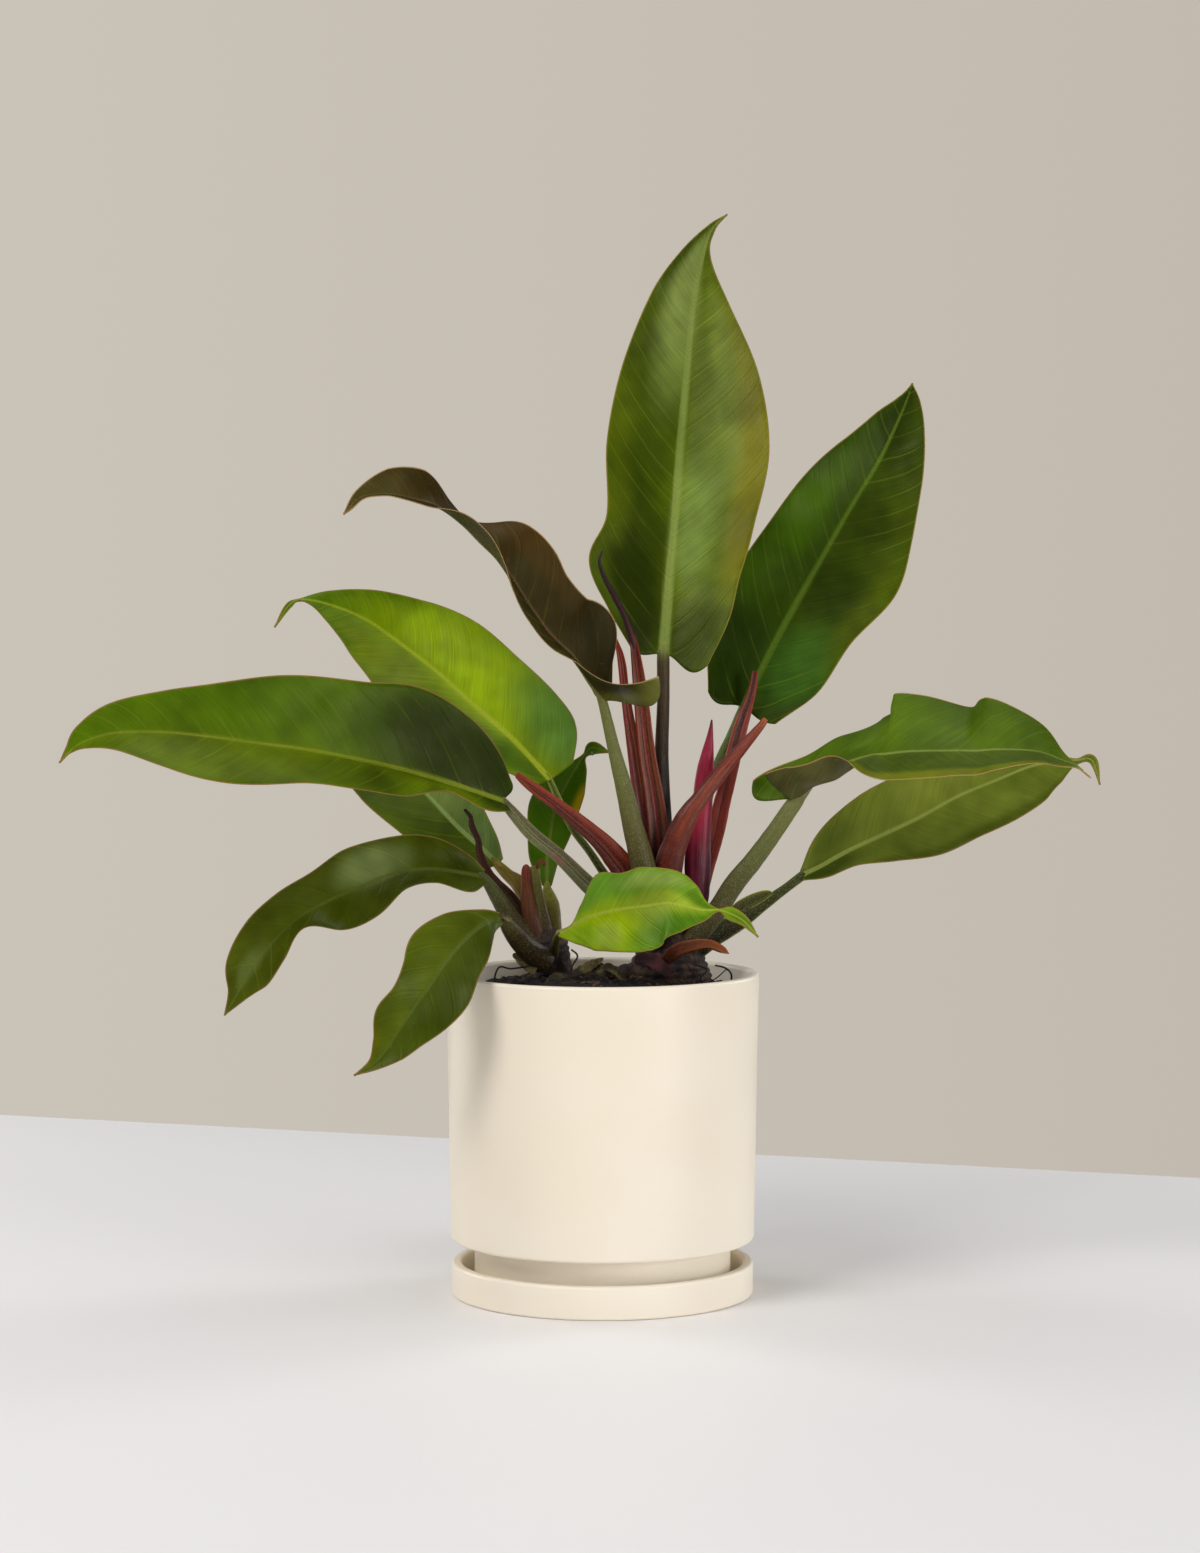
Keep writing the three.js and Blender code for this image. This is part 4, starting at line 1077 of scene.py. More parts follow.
def glaze_finish():
    """Satin cream glaze: a slow drift between two creams, sparse fine specks and a
    faint hand-finished unevenness in gloss and relief."""
    f = Finish("cream_glaze")
    drift = f.noise(f.place(), 7, 2)
    skin = f.mix(f.step(drift, 0.35, 0.65), colour("f0e4cf"), colour("f3e9d7"))
    speck = f.step(f.noise(f.place(), 520, 2), 0.74, 0.8, 0.0, 0.12)
    skin = f.mix(speck, skin, colour("c9b48c"))
    f.bump(f.noise(f.place(), 160, 3), 0.06, 0.0006)
    gloss = f.step(f.noise(f.place(), 30, 3), 0.3, 0.7, 0.36, 0.44)
    return f.set(Base_Color=skin, Roughness=gloss, Specular_IOR_Level=0.42)


# ---------------------------------------------------------------- planter, saucer, soil

# Points round a turned piece, and on each rounded corner of its profile.
ROUND = 144
CORNER_POINTS = 7


def rounded(corners):
    """A profile whose corners (radius, height, rounding) are each cut by a quadratic
    curve from one side to the other, the rounding away from the corner."""
    p = np.array([c[:2] for c in corners], float)
    cut = np.array([c[2] for c in corners], float)[:, None]
    before = p + unit(np.roll(p, 1, 0) - p) * cut
    after = p + unit(np.roll(p, -1, 0) - p) * cut
    u = np.linspace(0, 1, CORNER_POINTS)[None, :, None]
    arcs = (1 - u) ** 2 * before[:, None] + 2 * u * (1 - u) * p[:, None] + u**2 * after[:, None]
    return arcs


def turned(name, outline, finish, poles=True):
    """The outline of radius and height in mm, turned about the Z axis: a point at angle
    a lies at (r cos a, r sin a, z). With poles the ends lie on the axis and close there;
    without, the outline closes on itself."""
    a = np.arange(ROUND) * 2 * np.pi / ROUND
    rows = outline[1:-1] if poles else outline
    points = np.stack(
        np.broadcast_arrays(rows[:, :1] * np.cos(a), rows[:, :1] * np.sin(a), rows[:, 1:]), -1
    ).reshape(-1, 3)
    count = len(rows)
    i = np.arange(count - 1 if poles else count)[:, None]
    j = np.arange(ROUND)
    k = (j + 1) % ROUND
    low, high = i * ROUND, (i + 1) % count * ROUND
    quads = np.stack(np.broadcast_arrays(low + j, low + k, high + k, high + j), -1)
    faces = quads.reshape(-1, 4).tolist()
    if poles:
        points = np.vstack([points, [0, 0, outline[0, 1]], [0, 0, outline[-1, 1]]])
        first, last = count * ROUND, count * ROUND + 1
        top = (count - 1) * ROUND
        faces += np.stack([np.full(ROUND, first), k, j], -1).tolist()
        faces += np.stack([np.full(ROUND, last), top + j, top + k], -1).tolist()
    return make_mesh(name, points * MM, faces, finish)


def outline_of(corners, closed=False):
    """The rounded profile as one row of points, its first and last corners kept."""
    arcs = rounded(corners)
    if closed:
        return arcs.reshape(-1, 2)
    ends = np.array([corners[0][:2], corners[-1][:2]], float)
    return np.vstack([ends[:1], arcs[1:-1].reshape(-1, 2), ends[1:]])


# The planter: a wall that leans out by its draft, a narrower foot up to a step, and a
# drain hole through its floor. The saucer is a flat dish with an upright wall.
GLAZE = glaze_finish()
RIM = RIM_Z / MM
POT_WALL = 6
POT_FLOOR = 8
POT_DRAFT = 3
POT_FOOT_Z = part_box("pot")[0].z / MM
STEP_Z = POT_FOOT_Z + 30
FOOT_RADIUS = 82
DRAIN_RADIUS = 9
SAUCER_WALL = 6.5
SAUCER_FLOOR = 5
SAUCER_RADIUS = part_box("saucer")[1].x / MM
SAUCER_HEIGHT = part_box("saucer")[1].z / MM
BODY_RADIUS = POT_RIM_RADIUS - POT_DRAFT
INSIDE = POT_RIM_RADIUS - POT_WALL
FOOT_INSIDE = FOOT_RADIUS - POT_WALL
LEDGE_Z = STEP_Z + POT_WALL
FLOOR_Z = POT_FOOT_Z + POT_FLOOR
POT_CORNERS = [
    (DRAIN_RADIUS, POT_FOOT_Z, 0.6), (FOOT_RADIUS, POT_FOOT_Z, 1.2), (FOOT_RADIUS, STEP_Z, 1.2),
    (BODY_RADIUS, STEP_Z, 2.8), (POT_RIM_RADIUS, RIM, 2.4), (INSIDE, RIM, 2.4),
    (INSIDE - POT_DRAFT, LEDGE_Z, 3), (FOOT_INSIDE, LEDGE_Z, 1),
    (FOOT_INSIDE, FLOOR_Z, 2), (DRAIN_RADIUS, FLOOR_Z, 0.6),
]
SAUCER_INSIDE = SAUCER_RADIUS - SAUCER_WALL
SAUCER_CORNERS = [
    (0, 0, 0), (SAUCER_RADIUS, 0, 2.2), (SAUCER_RADIUS, SAUCER_HEIGHT, 2.4),
    (SAUCER_INSIDE, SAUCER_HEIGHT, 2.2), (SAUCER_INSIDE, SAUCER_FLOOR, 1.5), (0, SAUCER_FLOOR, 0),
]
POT_OUTLINE = outline_of(POT_CORNERS, closed=True)
show(turned("pot_body", POT_OUTLINE, GLAZE, poles=False), "glazed_cream", "pot")
show(turned("saucer_dish", outline_of(SAUCER_CORNERS), GLAZE), "glazed_cream", "saucer")

MOUND_RADII = [0, 32, 58, 80, 92]
MOUND_HEIGHTS = [SOIL_MOUND, SOIL_MOUND, 3, 0, -2]
SOIL_RINGS = 90
SOIL_FIRST_RING = 0.6
# The soil's gaps to the wall at its top, to the foot and to the floor, and how much its
# side leans in.
SOIL_EDGE_GAP = 1.2
SOIL_GAP = 0.5
SOIL_FLOOR_GAP = 0.4
SOIL_LEAN = 2.5
# Coarse and fine relief on the mound: height and size in mm, and seed.
SOIL_RELIEF = [(1.1, 11, 31), (0.7, 4.5, 32)]
# The relief fades over this breadth at the wall and stops this far below the level.
SOIL_FADE = 4


def soil_height(r):
    """The mound's height above the soil's level, in mm, at a radius in mm."""
    return np.interp(r, MOUND_RADII, MOUND_HEIGHTS)


def soil_body():
    """The mound and the plug of soil under it, one closed turned skin. The top is raised
    by coarse and fine random relief that fades at the wall."""
    edge = INSIDE - SOIL_EDGE_GAP
    r = np.concatenate([[0.0], np.linspace(SOIL_FIRST_RING, edge, SOIL_RINGS)])
    top = np.column_stack([r, SOIL_Z / MM + soil_height(r)])
    ledge = LEDGE_Z + SOIL_GAP
    plug = FOOT_INSIDE - SOIL_GAP
    low = FLOOR_Z + SOIL_FLOOR_GAP
    side = [[edge - SOIL_LEAN, ledge], [plug, ledge], [plug, low], [0, low]]
    piece = turned("soil_body", np.vstack([top, side]), soil_finish())
    co = np.zeros(len(piece.data.vertices) * 3)
    piece.data.vertices.foreach_get("co", co)
    co = co.reshape(-1, 3) / MM
    far = np.hypot(co[:, 0], co[:, 1])
    on_top = (co[:, 2] > SOIL_Z / MM - SOIL_FADE) * (1 - smooth(far, edge - SOIL_FADE, edge))
    co[:, 2] += on_top * sum(tall * lumps(co, size, seed) for tall, size, seed in SOIL_RELIEF)
    piece.data.vertices.foreach_set("co", (co * MM).ravel())
    piece.data.update()
    return show(piece, "soil_dark", "soil")


def turns(angles):
    """Rotation matrices that turn by three angles about X, then Y, then Z."""
    c, s = np.cos(angles), np.sin(angles)
    one, nil = np.ones(len(angles)), np.zeros(len(angles))
    x = np.stack([one, nil, nil, nil, c[:, 0], -s[:, 0], nil, s[:, 0], c[:, 0]], -1)
    y = np.stack([c[:, 1], nil, s[:, 1], nil, one, nil, -s[:, 1], nil, c[:, 1]], -1)
    z = np.stack([c[:, 2], -s[:, 2], nil, s[:, 2], c[:, 2], nil, nil, nil, one], -1)
    x, y, z = (m.reshape(-1, 3, 3) for m in (x, y, z))
    return z @ y @ x

# A chip: its sides, its points, and the share of its breadth that its faces keep.
CHIP_SIDES = 6
CHIP_POINTS = 3 * CHIP_SIDES + 2
CHIP_FACE = 0.85
CHIP_BROWNS = ("2a1c14", "4a3626", "1a1210", "5c4632", "33261c")
CHIP_TILT = 0.35
CHIP_WALL_GAP = 5


def chips(name, count, seed, low, high):
    """Bark chips strewn on the mound: each a six-sided slab with an uneven outline, of
    its own size, thickness, turn and brown, half sunk in the soil. Its rings lie at the
    heights 0.5, 0 and -0.5 of its thickness, and two points close it."""
    rng = np.random.default_rng(seed)
    j = np.arange(CHIP_SIDES)
    a = j * 2 * np.pi / CHIP_SIDES
    uneven = rng.uniform(0.6, 1.1, (count, CHIP_SIDES, 1))
    ring = np.stack([np.cos(a), np.sin(a)], -1)[None] * uneven
    slab = np.concatenate([
        np.dstack([ring * breadth, np.full((count, CHIP_SIDES, 1), height)])
        for breadth, height in ((CHIP_FACE, 0.5), (1, 0.0), (CHIP_FACE, -0.5))
    ], 1)
    caps = np.array([[0, 0, 0.6], [0, 0, -0.6]])
    slab = np.concatenate([slab, np.broadcast_to(caps, (count, 2, 3))], 1)
    long = rng.uniform(low, high, count)
    broad = long * rng.uniform(0.3, 0.75, count)
    thick = long * rng.uniform(0.2, 0.45, count)
    size = np.stack([long, broad, thick], -1)
    lean = [rng.normal(0, CHIP_TILT, count), rng.normal(0, CHIP_TILT, count)]
    tilt = np.stack([*lean, rng.uniform(0, 6.3, count)], -1)
    spun = (slab * size[:, None]) @ turns(tilt).transpose(0, 2, 1)
    r = (INSIDE - CHIP_WALL_GAP - high) * np.sqrt(rng.uniform(0, 1, count))
    turn = rng.uniform(0, 2 * np.pi, count)
    z = SOIL_Z / MM + soil_height(r) + thick * rng.uniform(-0.1, 0.5, count)
    middle = np.stack([r * np.cos(turn), r * np.sin(turn), z], -1)
    points = (spun + middle[:, None]).reshape(-1, 3) * MM
    k = (j + 1) % CHIP_SIDES
    mid, end = CHIP_SIDES, 2 * CHIP_SIDES
    one = np.vstack([
        np.stack([j, j + mid, k + mid, k], -1), np.stack([j + mid, j + end, k + end, k + mid], -1),
    ])
    first, last = (np.full(CHIP_SIDES, CHIP_POINTS - n) for n in (2, 1))
    fans = np.vstack([np.stack([first, j, k], -1), np.stack([last, k + end, j + end], -1)])
    base = np.arange(count)[:, None, None] * CHIP_POINTS
    faces = (one + base).reshape(-1, 4).tolist() + (fans + base).reshape(-1, 3).tolist()
    browns = np.array([colour(code) for code in CHIP_BROWNS])
    shade = browns[rng.integers(0, len(browns), count)] * rng.uniform(0.6, 1.2, (count, 1))
    notes = {"tint": np.repeat(shade, CHIP_POINTS, axis=0)}
    return show(make_mesh(name, points, faces, CHIP, notes), "soil_dark")


CHIP = chip_finish()
soil_body()
# How many, the seed, and the least and greatest length in mm.
chips("bark_chips_large", 260, 71, 2.2, 5.5)
chips("bark_crumbs", 900, 72, 0.7, 2.0)

# ---------------------------------------------------------------- the plant

# The seed of each kind's first piece; the next one's is one more.
SEEDS = {
    "leaf": 100, "stalk": 300, "wing": 340, "sheath": 360, "stub": 380, "crown": 400,
    "runner": 410, "litter": 420, "root": 430, "rootlet": 440, "husk": 450,
}

for index, (name, leaf) in enumerate(LEAVES.items()):
    slot = "leaf_bronze" if name == "twisted_bronze" else "leaf_green"
    piece = leaf_blade(name, leaf, LEAF_LOOKS[name], SEEDS["leaf"] + index)
    show(piece, slot, "leaf_" + name)

# Each skin: its flecks' colour and share, its streaks, roughness and coat.
SKIN = {
    "green": stem_finish("stalk_skin", "9a9a68", 0.3, 0.25),
    "speckled": stem_finish("speckled_stalk", "94925c", 0.35, 0.2),
    "dark": stem_finish("dark_stalk", "6b6040", 0.2, 0.45),
    "red": stem_finish("red_sheath", "c07050", 0.15, 0.55, 0.42, 0.08),
    "bud": stem_finish("bud_skin", "b0405c", 0.1, 0.35, 0.42, 0.08),
    "scribbled": stem_finish("scribbled_keel", "4a2a14", 0.6, 0.4),
    "smooth": stem_finish("smooth_sheath", "6b4434", 0.12, 0.25, 0.4),
}
# Each stalk's skin, colours from leaf to crown, channel depth and edge line. The
# colours darken towards the crown, partly the stalks' own dark purple-brown bases and
# partly painted shade low among the leaves.
STALK_LOOKS = {
    "tall_centre": ("dark", ["6b6c40", "54482c", "40301c", "2a1a10", "180a08", "140808"], 0, None),
    "right_upper": ("green", ["64863c", "5c7c3a", "5a7038", "4a4a28", "3a2018"], 0, None),
    "twisted_bronze": ("speckled", ["8a8458", "6b6e40", "62663a", "55502c", "331c18"], 0, None),
    "bright_left": ("green", ["8a9a34", "6b7d24", "4f5a1c", "33280f"], 0.8, "b0b060"),
    "long_left": ("green", ["6b7250", "66694c", "5c6044", "545440", "3f3c2c"], 0.7, "9a9a70"),
    "hidden_back": ("scribbled", ["8f9a40", "9a8c3c", "8c7434", "4a2c18"], 0, None),
    "drooping_left": ("green", ["5f6b30", "4f5628", "443a1e", "33180f"], 0, None),
    "drooping_front": ("green", ["6b7440", "4c4c22", "3a2c14", "2a1410"], 0, None),
    "small_upright": ("scribbled", ["7c8a30", "94983c", "868638", "5f4c28"], 0, None),
    "folded_right": ("speckled", ["77784c", "6b6e40", "5c6038", "4c4a2c", "33241a"], 0, None),
    "lower_right": ("green", ["5f6b30", "57602c", "454a1f", "332c14", "1f120c"], 0.9, "6b7034"),
    "front_small": ("green", ["7a8a30", "5c5a24", "3a2618"], 0, None),
}
WING_LOOK = ("green", ["33300a", "4c4c0e", "56580e", "6b7014", "8a901c"], 1.2, "9aa42c")
# Each sheath's skin, colours from top to crown, channel depth and edge line. Most darken downwards,
# partly their own darker bases and partly painted shade low among the stems.
SHEATH_LOOKS = {
    "sheath_left": ("red", ["a8563a", "8a3c2c", "803424", "782c20", "601812"], 0.5, "98503c"),
    "sheath_right_front": ("red", ["c07c40", "8a4030", "84402c", "7c3a24", "66281a", "4c1a18"], 0, None),
    "bud_crimson": ("bud", ["501030", "a02444", "ac2244", "64182e", "561430", "360c1c"], 0, None),
    "sheath_centre": ("red", ["5c2420", "8a3826", "8f4428", "5c1c18", "380c0e"], 0.9, None),
    "sheath_centre_left": ("red", ["b0482c", "a03c28", "8c2c20", "6b1c1c", "3c1010"], 0.8, "b05438"),
    "spear_dark": ("smooth", ["1c0c10", "28101a", "2e1218", "4a1c1c"], 0, None),
    "sheath_right_back": ("red", ["94402e", "90382a", "984028", "a84430", "902c22"], 0.6, "b45040"),
    "sheath_low_orange": ("red", ["4a2420", "7a4c2c", "94643a", "a8703c", "c07838"], 0.7, "8a5034"),
    "stub_cut": ("green", ["94964c", "7c7c3c", "66602c", "442c18", "2e1612"], 0.4, None),
    "sheath_twisted_brown": ("dark", ["2a100e", "40180f", "4c2214", "542a1c", "3a1810"], 1.2, None),
}
STUB_LOOKS = {
    "stub_scale": ("red", ["a85444", "94503a", "805c34", "60442a", "2c1410"], 0, None),
    "stub_curl": ("red", ["7a3828", "a0603c", "8a4a30", "5c2a1c"], 0.6, None),
}
# Lengthwise lines on a stem: place across, half-width, start, end, colour and strength.
# Some are the stems' own stripes and marks; the narrow near-black lines in the sheaths'
# grooves are painted shade.
# Down a stem that hangs from its tip, across runs from 1 on the left to -1 on the right.
# The pale end of the tall centre leaf's stalk, behind its rib, as a share of its length.
RIB_TOP = 0.27
LINES = {
    # The pale band along the upper side is a painted highlight; the broad dark maroon band along the
    # lower side and the two near-black groove lines are painted shade.
    "sheath_left_skin": [
        (0.65, 0.45, 0.3, 1, "54201a", 0.8), (0.34, 0.13, 0.15, 1, "200806", 0.95),
        (-0.1, 0.12, 0.1, 1, "280a06", 0.9), (-0.7, 0.25, 0, 0.8, "a85434", 0.4),
        (0.12, 0.12, 0.2, 0.9, "8c4030", 0.6),
    ],
    "sheath_right_front_skin": [(0.8, 0.2, 0, 1, "4c1a14", 0.7), (0, 0.3, 0.1, 0.7, "a85a3a", 0.4)],
    "bud_crimson_skin": [(-0.85, 0.3, 0.3, 1, "2e0a18", 0.6), (0.35, 0.2, 0.55, 0.9, "7a2440", 0.5)],
    # The golden stripes are the sheath's own; the near-black lines between them are painted shade in its
    # grooves.
    "sheath_centre_skin": [
        (0.6, 0.16, 0.2, 0.75, "a47848", 0.45), (0.32, 0.1, 0.1, 0.9, "2e0e0a", 0.8),
        (0.02, 0.14, 0, 0.8, "a0402c", 0.6), (-0.3, 0.12, 0.15, 1, "240a08", 0.85),
        (-0.6, 0.2, 0.3, 0.8, "7c5a34", 0.6), (-0.93, 0.07, 0.5, 0.95, "a87878", 0.6),
    ],
    "sheath_centre_left_skin": [
        (-0.25, 0.14, 0, 0.7, "a87c38", 0.6), (0.2, 0.12, 0.1, 1, "4c1410", 0.7),
        (0.8, 0.14, 0.6, 0.9, "8a5c70", 0.5),
    ],
    "sheath_right_back_skin": [
        (0.15, 0.55, 0, 0.45, "2e100c", 0.85), (-0.3, 0.08, 0.1, 0.5, "b4604c", 0.7),
        (0.1, 0.12, 0.45, 1, "64201a", 0.5),
    ],
    "stub_cut_skin": [(-0.2, 0.16, 0, 0.9, "5c6430", 0.5), (0.3, 0.1, 0.1, 1, "3c2418", 0.6)],
    "sheath_low_orange_skin": [(0.85, 0.2, 0, 0.8, "3c1814", 0.7)],
    "stalk_of_long_left": [
        (-0.62, 0.4, 0.1, 1, "54483e", 0.85), (-0.22, 0.07, 0.1, 0.9, "94927a", 0.7),
        (-0.08, 0.1, 0.1, 1, "40382e", 0.7), (0.16, 0.07, 0.1, 0.9, "90906c", 0.6),
        (0.35, 0.22, 0.55, 0.585, "94305c", 0.85),
    ],
    "stalk_of_lower_right": [(0.4, 0.25, 0.2, 1, "2e2c10", 0.5)],
    "stalk_of_bright_left": [(0.1, 0.3, 0.2, 1, "241c0c", 0.7)],
    # The dark band down the lower right side is partly the stalk's own purple-black and partly painted
    # shade.
    "stalk_of_tall_centre": [
        (-0.5, 0.5, 0.5, 1, "1c0e0a", 0.5), (0, 2, -1, RIB_TOP, "7d8c44", 1),
    ],
    "stalk_wing": [(0, 0.6, 0.1, 0.9, "2c2a08", 0.6)],
}

# A channel's shade, an edge line's strength and where across it grows and fades, and
# what the colours are multiplied by.
CHANNEL_SHADE = 0.4
EDGE_STRENGTH = 0.6
EDGE_GROWS = (0.78, 0.92)
EDGE_FADES = (0.97, 1.02)
STEM_TONE = {"red": (0.72, 0.47, 0.34), "bud": (0.85, 0.55, 0.6)}
STALK_TONE = (0.92, 0.9, 0.62)


def stem_tint(look, lines):
    """Colours down a stem: the listed ones joined evenly from its top, darker in the
    channel, with a light line along each edge and the lengthwise lines over them."""
    _, codes, channel, edge = look
    stops = np.array([colour(code) for code in codes])
    t = stem_steps(STEM_RINGS)
    stop = t * (len(codes) - 1)
    down = np.stack([np.interp(stop, np.arange(len(codes)), stops[:, k]) for k in range(3)], -1)
    x = np.cos(stem_angles(STEM_COLUMNS))
    whole = np.broadcast_to(down[:, None], (STEM_RINGS, STEM_COLUMNS, 3))
    front = whole
    if channel:
        front = front * (1 - CHANNEL_SHADE * (1 - np.abs(x)) * min(channel, 1))[None, :, None]
    if edge:
        line = smooth(np.abs(x), *EDGE_GROWS) * (1 - smooth(np.abs(x), *EDGE_FADES))
        share = np.broadcast_to(line[None] * EDGE_STRENGTH, front.shape[:2])
        front = blend(front, colour(edge), share)
    for line in lines:
        front = blend(front, colour(line[4]), line[5] * line_share(line, x, t))
    tone = np.array(STEM_TONE.get(look[0], STALK_TONE))
    return wrap(front * tone, down * tone, whole * tone, down * tone)


def add_stem(name, rows, look, slot, depth, nodes, seed):
    """A stem in its skin, colours and lines, standing for its CAD nodes."""
    skin, _, channel, _ = look
    lines = LINES.get(name, ())
    piece = stem(
        name, rows, SKIN[skin], depth, channel, STEM_RINGS, STEM_COLUMNS, None, seed,
        stem_tint(look, lines), lines,
    )
    return show(piece, slot, *nodes)


# A stalk's tip runs on behind its leaf's rib, this far back and at these shares of its
# width.
TIP_SINK = 5
TIP_WIDTHS = (0.25, 0.6)
# How deep stems are from front to rear, as shares of their width.
STALK_DEPTH = 0.85
WING_DEPTH = 0.3
SHEATH_DEPTH = 0.6
for index, (name, look) in enumerate(STALK_LOOKS.items()):
    route = STALKS[name]
    rib = np.array(LEAVES[name]["rib"][:3], float)
    top = route["top"]
    behind = rib[1] + np.array([0, TIP_SINK, 0])
    rows = [
        [*behind, TIP_WIDTHS[0] * top], [*((rib[0] + behind) / 2), TIP_WIDTHS[1] * top],
        [*rib[0], top], *route["rest"],
    ]
    seed = SEEDS["stalk"] + index
    nodes = ["stalk_" + name]
    add_stem("stalk_of_" + name, rows, look, "stalk_green", STALK_DEPTH, nodes, seed)
add_stem("stalk_wing", STALK_WING, WING_LOOK, "stalk_green", WING_DEPTH, [], SEEDS["wing"])
for index, (name, look) in enumerate(SHEATH_LOOKS.items()):
    slot = "bud_crimson" if name == "bud_crimson" else "sheath_red"
    seed = SEEDS["sheath"] + index
    add_stem(name + "_skin", SHEATHS[name], look, slot, SHEATH_DEPTH, [name], seed)
for index, (name, rows) in enumerate(STUB_PARTS.items()):
    look, seed = STUB_LOOKS[name], SEEDS["stub"] + index
    add_stem(name, rows, look, "sheath_red", SHEATH_DEPTH, ["stub_cut"], seed)

HUSK = husk_finish("old_crown", "140a0a", "523c28")
DRY = husk_finish("dry_husk", "2c2412", "7a6e3c")
MAROON = husk_finish("maroon_scale", "2a1014", "5c2c2c")
ROOT_WIDTH = 1.2
ROOTLET_WIDTH = 0.7


def add_husk(name, rows, finish, kind, index, nodes=(), slot="husk_brown", **shape):
    """A piece of bark, husk or root, seeded by its kind and its place in the list."""
    show(stem(name, rows, finish, seed=SEEDS[kind] + index, **shape), slot, *nodes)


for index, (name, rows) in enumerate(HUSKS.items()):
    finish = MAROON if name == "scale_maroon" else DRY
    add_husk(name, rows, finish, "husk", index, depth=0.35, channel=0.8, ripple=(0.2, 5))
ROOT = husk_finish("root_skin", "140c0a", "2e211a")
for index, (name, rows) in enumerate(CROWNS.items()):
    bark = {"ripple": (0.07, 4.5), "columns": 31, "rings": 90}
    add_husk(name + "_bark", rows, HUSK, "crown", index, [name], **bark)
add_husk("runner_bark", RUNNER, HUSK, "runner", 0, ["runner"], ripple=(0.12, 5))
for index, (name, rows) in enumerate(LITTER.items()):
    slot = "sheath_red" if name == "flake_pink" else "husk_brown"
    curl = {"depth": 0.4, "channel": 0.9, "ripple": (0.12, 4)}
    add_husk(name + "_piece", rows, DRY, "litter", index, [name], slot, **curl)
for index, places in enumerate(ROOTS):
    rows = [[*place, ROOT_WIDTH] for place in places]
    name = f"root_{index + 1}"
    add_husk(name + "_skin", rows, ROOT, "root", index, [name], depth=1, columns=5, rings=40)
for index, places in enumerate(ROOTLETS):
    rows = [[*place, ROOTLET_WIDTH] for place in places]
    name = f"rootlet_{index + 1}"
    add_husk(name, rows, ROOT, "rootlet", index, depth=1, columns=5, rings=30)

# ---------------------------------------------------------------- floor, light, camera

# The floor's ends: left and right, where each meets the far edge, and the near edge.
FLOOR_LEFT, FLOOR_LEFT_FAR = -3.474, 1.842
FLOOR_RIGHT, FLOOR_RIGHT_FAR = 3.414, -0.580
FLOOR_NEAR = -7


def floor():
    """A pale floor whose far edge runs behind the plant, a little aslant."""
    corners = np.array([
        [FLOOR_LEFT, FLOOR_NEAR, 0], [FLOOR_RIGHT, FLOOR_NEAR, 0],
        [FLOOR_RIGHT, FLOOR_RIGHT_FAR, 0], [FLOOR_LEFT, FLOOR_LEFT_FAR, 0],
    ])
    f = Finish("pale_floor")
    tone = f.noise(f.place(), 3, 2)
    f.bump(f.noise(f.place(), 300, 3), 0.03, 0.0005)
    f.set(Base_Color=f.mix(tone, colour("e9e6e4"), colour("ebe8e6")), Roughness=0.6)
    mesh = bpy.data.meshes.new("floor")
    mesh.from_pydata(corners.tolist(), [], [[0, 1, 2, 3]])
    mesh.materials.append(f.material)
    piece = bpy.data.objects.new("floor", mesh)
    bpy.context.scene.collection.objects.link(piece)


AMBIENT = 0.2
# How far to each side of straight ahead the wall's colour drifts.
WALL_DRIFT = 0.22
# Soft boxes: where each stands, the height it faces on the axis, its size and its watts.
LAMPS = {
    "key": ((-1.3, -1.4, 1.9), 0.3, 1.1, 34),
    "fill": ((1.7, -1.6, 0.4), 0.2, 0.9, 20),
    "front": ((0.5, -2.5, 1.1), 0.2, 0.8, 4),
    "top": ((0.1, 0.1, 2.3), 0.3, 1.6, 14),
    "edge_left": ((-1.5, 0.9, 0.7), 0.3, 0.6, 9),
    "edge_right": ((1.5, 0.9, 0.7), 0.3, 0.6, 9),
}
CAMERA_PLACE = (-0.0016, -2.2, 0.425)
CAMERA_TILT_DOWN = 2.45
CAMERA_LENS = 80
CAMERA_SENSOR = 36


def lamp(name, place, aim, size, watts):
    """A square soft box that faces the plant's axis at a height."""
    light = bpy.data.lights.new(name, "AREA")
    light.size = size
    light.energy = watts
    piece = bpy.data.objects.new(name, light)
    piece.location = place
    heading = Vector((0, 0, aim)) - Vector(place)
    piece.rotation_euler = heading.to_track_quat("-Z", "Y").to_euler()
    bpy.context.scene.collection.objects.link(piece)


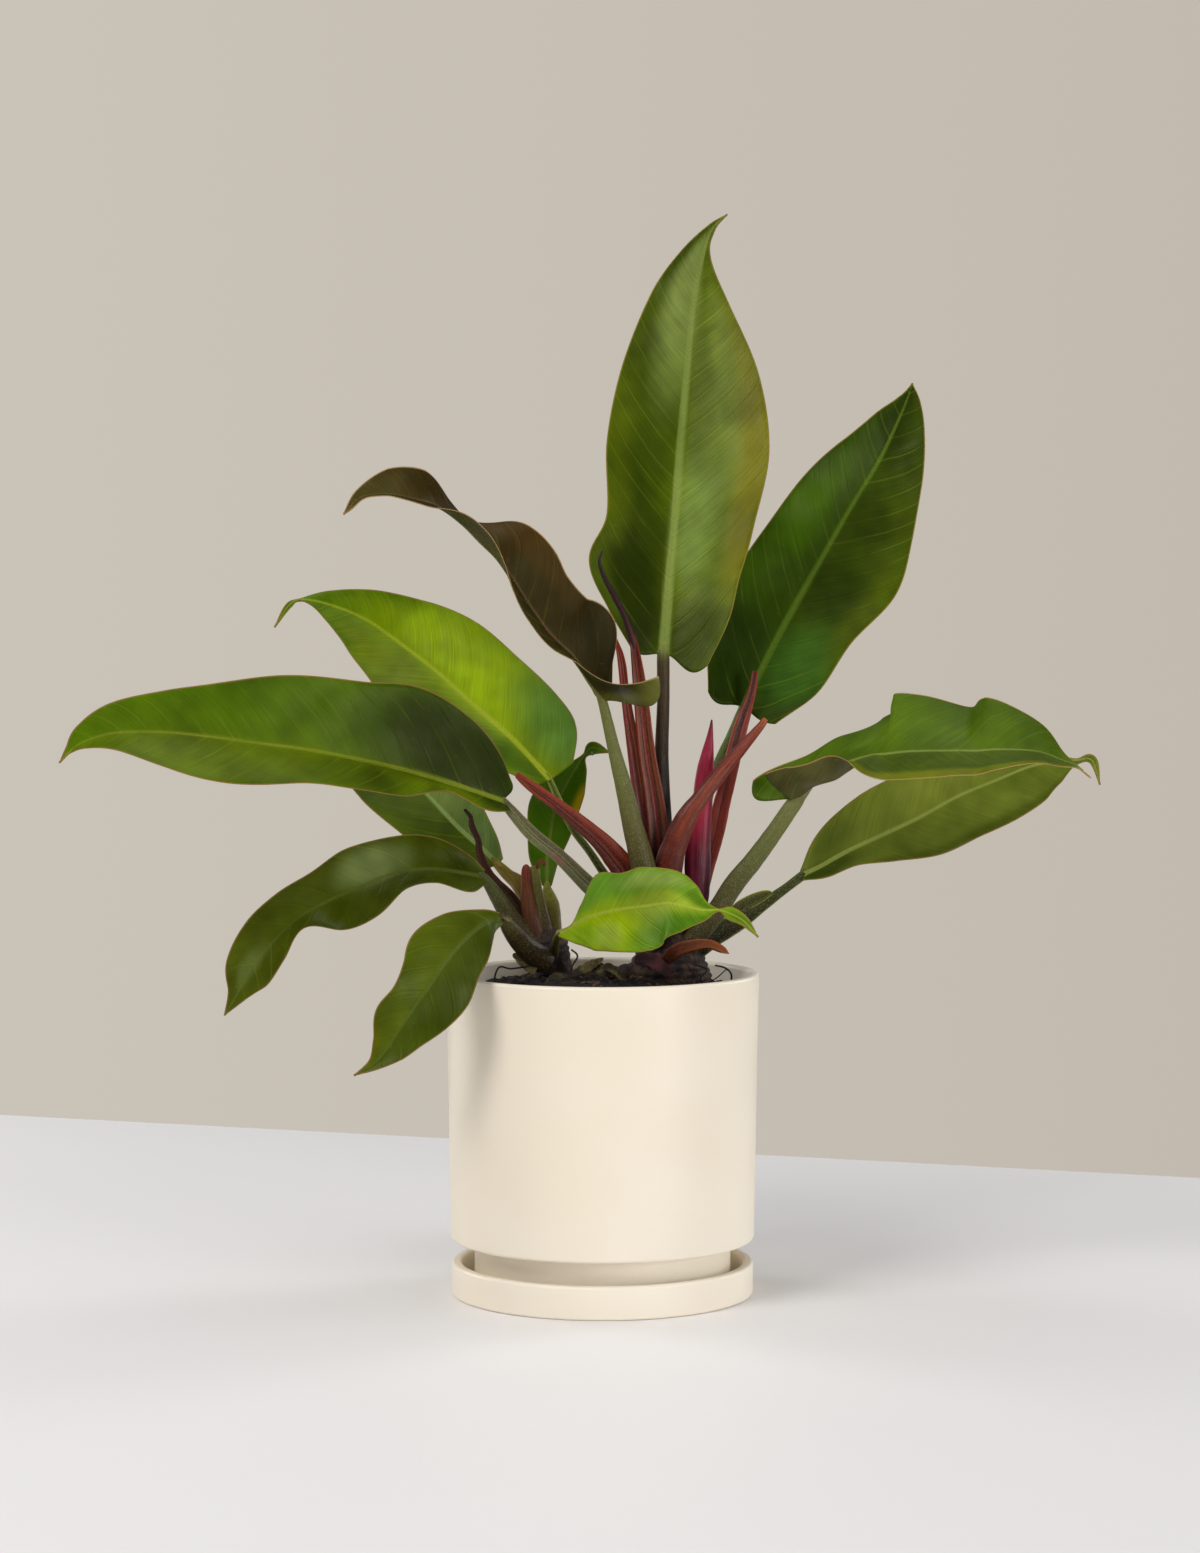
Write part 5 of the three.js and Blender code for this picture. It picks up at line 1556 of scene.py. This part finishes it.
def studio():
    """A greige wall colour behind the plant, dim neutral light from all round and soft
    boxes: the key high on the left, a low fill on the right, a weak one in front, one
    overhead and two behind that draw the planter's edges."""
    world = bpy.data.worlds.new("greige_studio")
    world.use_nodes = True
    nodes, links = world.node_tree.nodes, world.node_tree.links
    back = nodes["Background"]
    heading = nodes.new("ShaderNodeSeparateXYZ")
    links.new(nodes.new("ShaderNodeTexCoord").outputs["Generated"], heading.inputs[0])
    drift = nodes.new("ShaderNodeMapRange")
    drift.inputs["From Min"].default_value = -WALL_DRIFT
    drift.inputs["From Max"].default_value = WALL_DRIFT
    links.new(heading.outputs["X"], drift.inputs["Value"])
    wall = nodes.new("ShaderNodeMix")
    wall.data_type = "RGBA"
    wall.inputs[MIX_A].default_value = (*colour("cbc4b9"), 1)
    wall.inputs[MIX_B].default_value = (*colour("c1b9ad"), 1)
    links.new(drift.outputs[0], wall.inputs[0])
    links.new(wall.outputs[MIX_OUT], back.inputs["Color"])
    dim = nodes.new("ShaderNodeBackground")
    dim.inputs["Color"].default_value = (0.9, 0.92, 0.95, 1)
    dim.inputs["Strength"].default_value = AMBIENT
    seen = nodes.new("ShaderNodeLightPath")
    either = nodes.new("ShaderNodeMixShader")
    links.new(seen.outputs["Is Camera Ray"], either.inputs[0])
    links.new(dim.outputs[0], either.inputs[1])
    links.new(back.outputs[0], either.inputs[2])
    links.new(either.outputs[0], nodes["World Output"].inputs["Surface"])
    bpy.context.scene.world = world
    for name, (place, aim, size, watts) in LAMPS.items():
        lamp(name, place, aim, size, watts)


def camera():
    """A long lens at the plant's middle height, tilted a little down."""
    data = bpy.data.cameras.new("camera")
    data.lens = CAMERA_LENS
    data.sensor_width = CAMERA_SENSOR
    piece = bpy.data.objects.new("camera", data)
    piece.location = CAMERA_PLACE
    piece.rotation_euler = Euler((math.radians(90 - CAMERA_TILT_DOWN), 0, 0))
    bpy.context.scene.collection.objects.link(piece)
    bpy.context.scene.camera = piece


floor()
studio()
camera()
bpy.context.scene.view_settings.view_transform = "Standard"
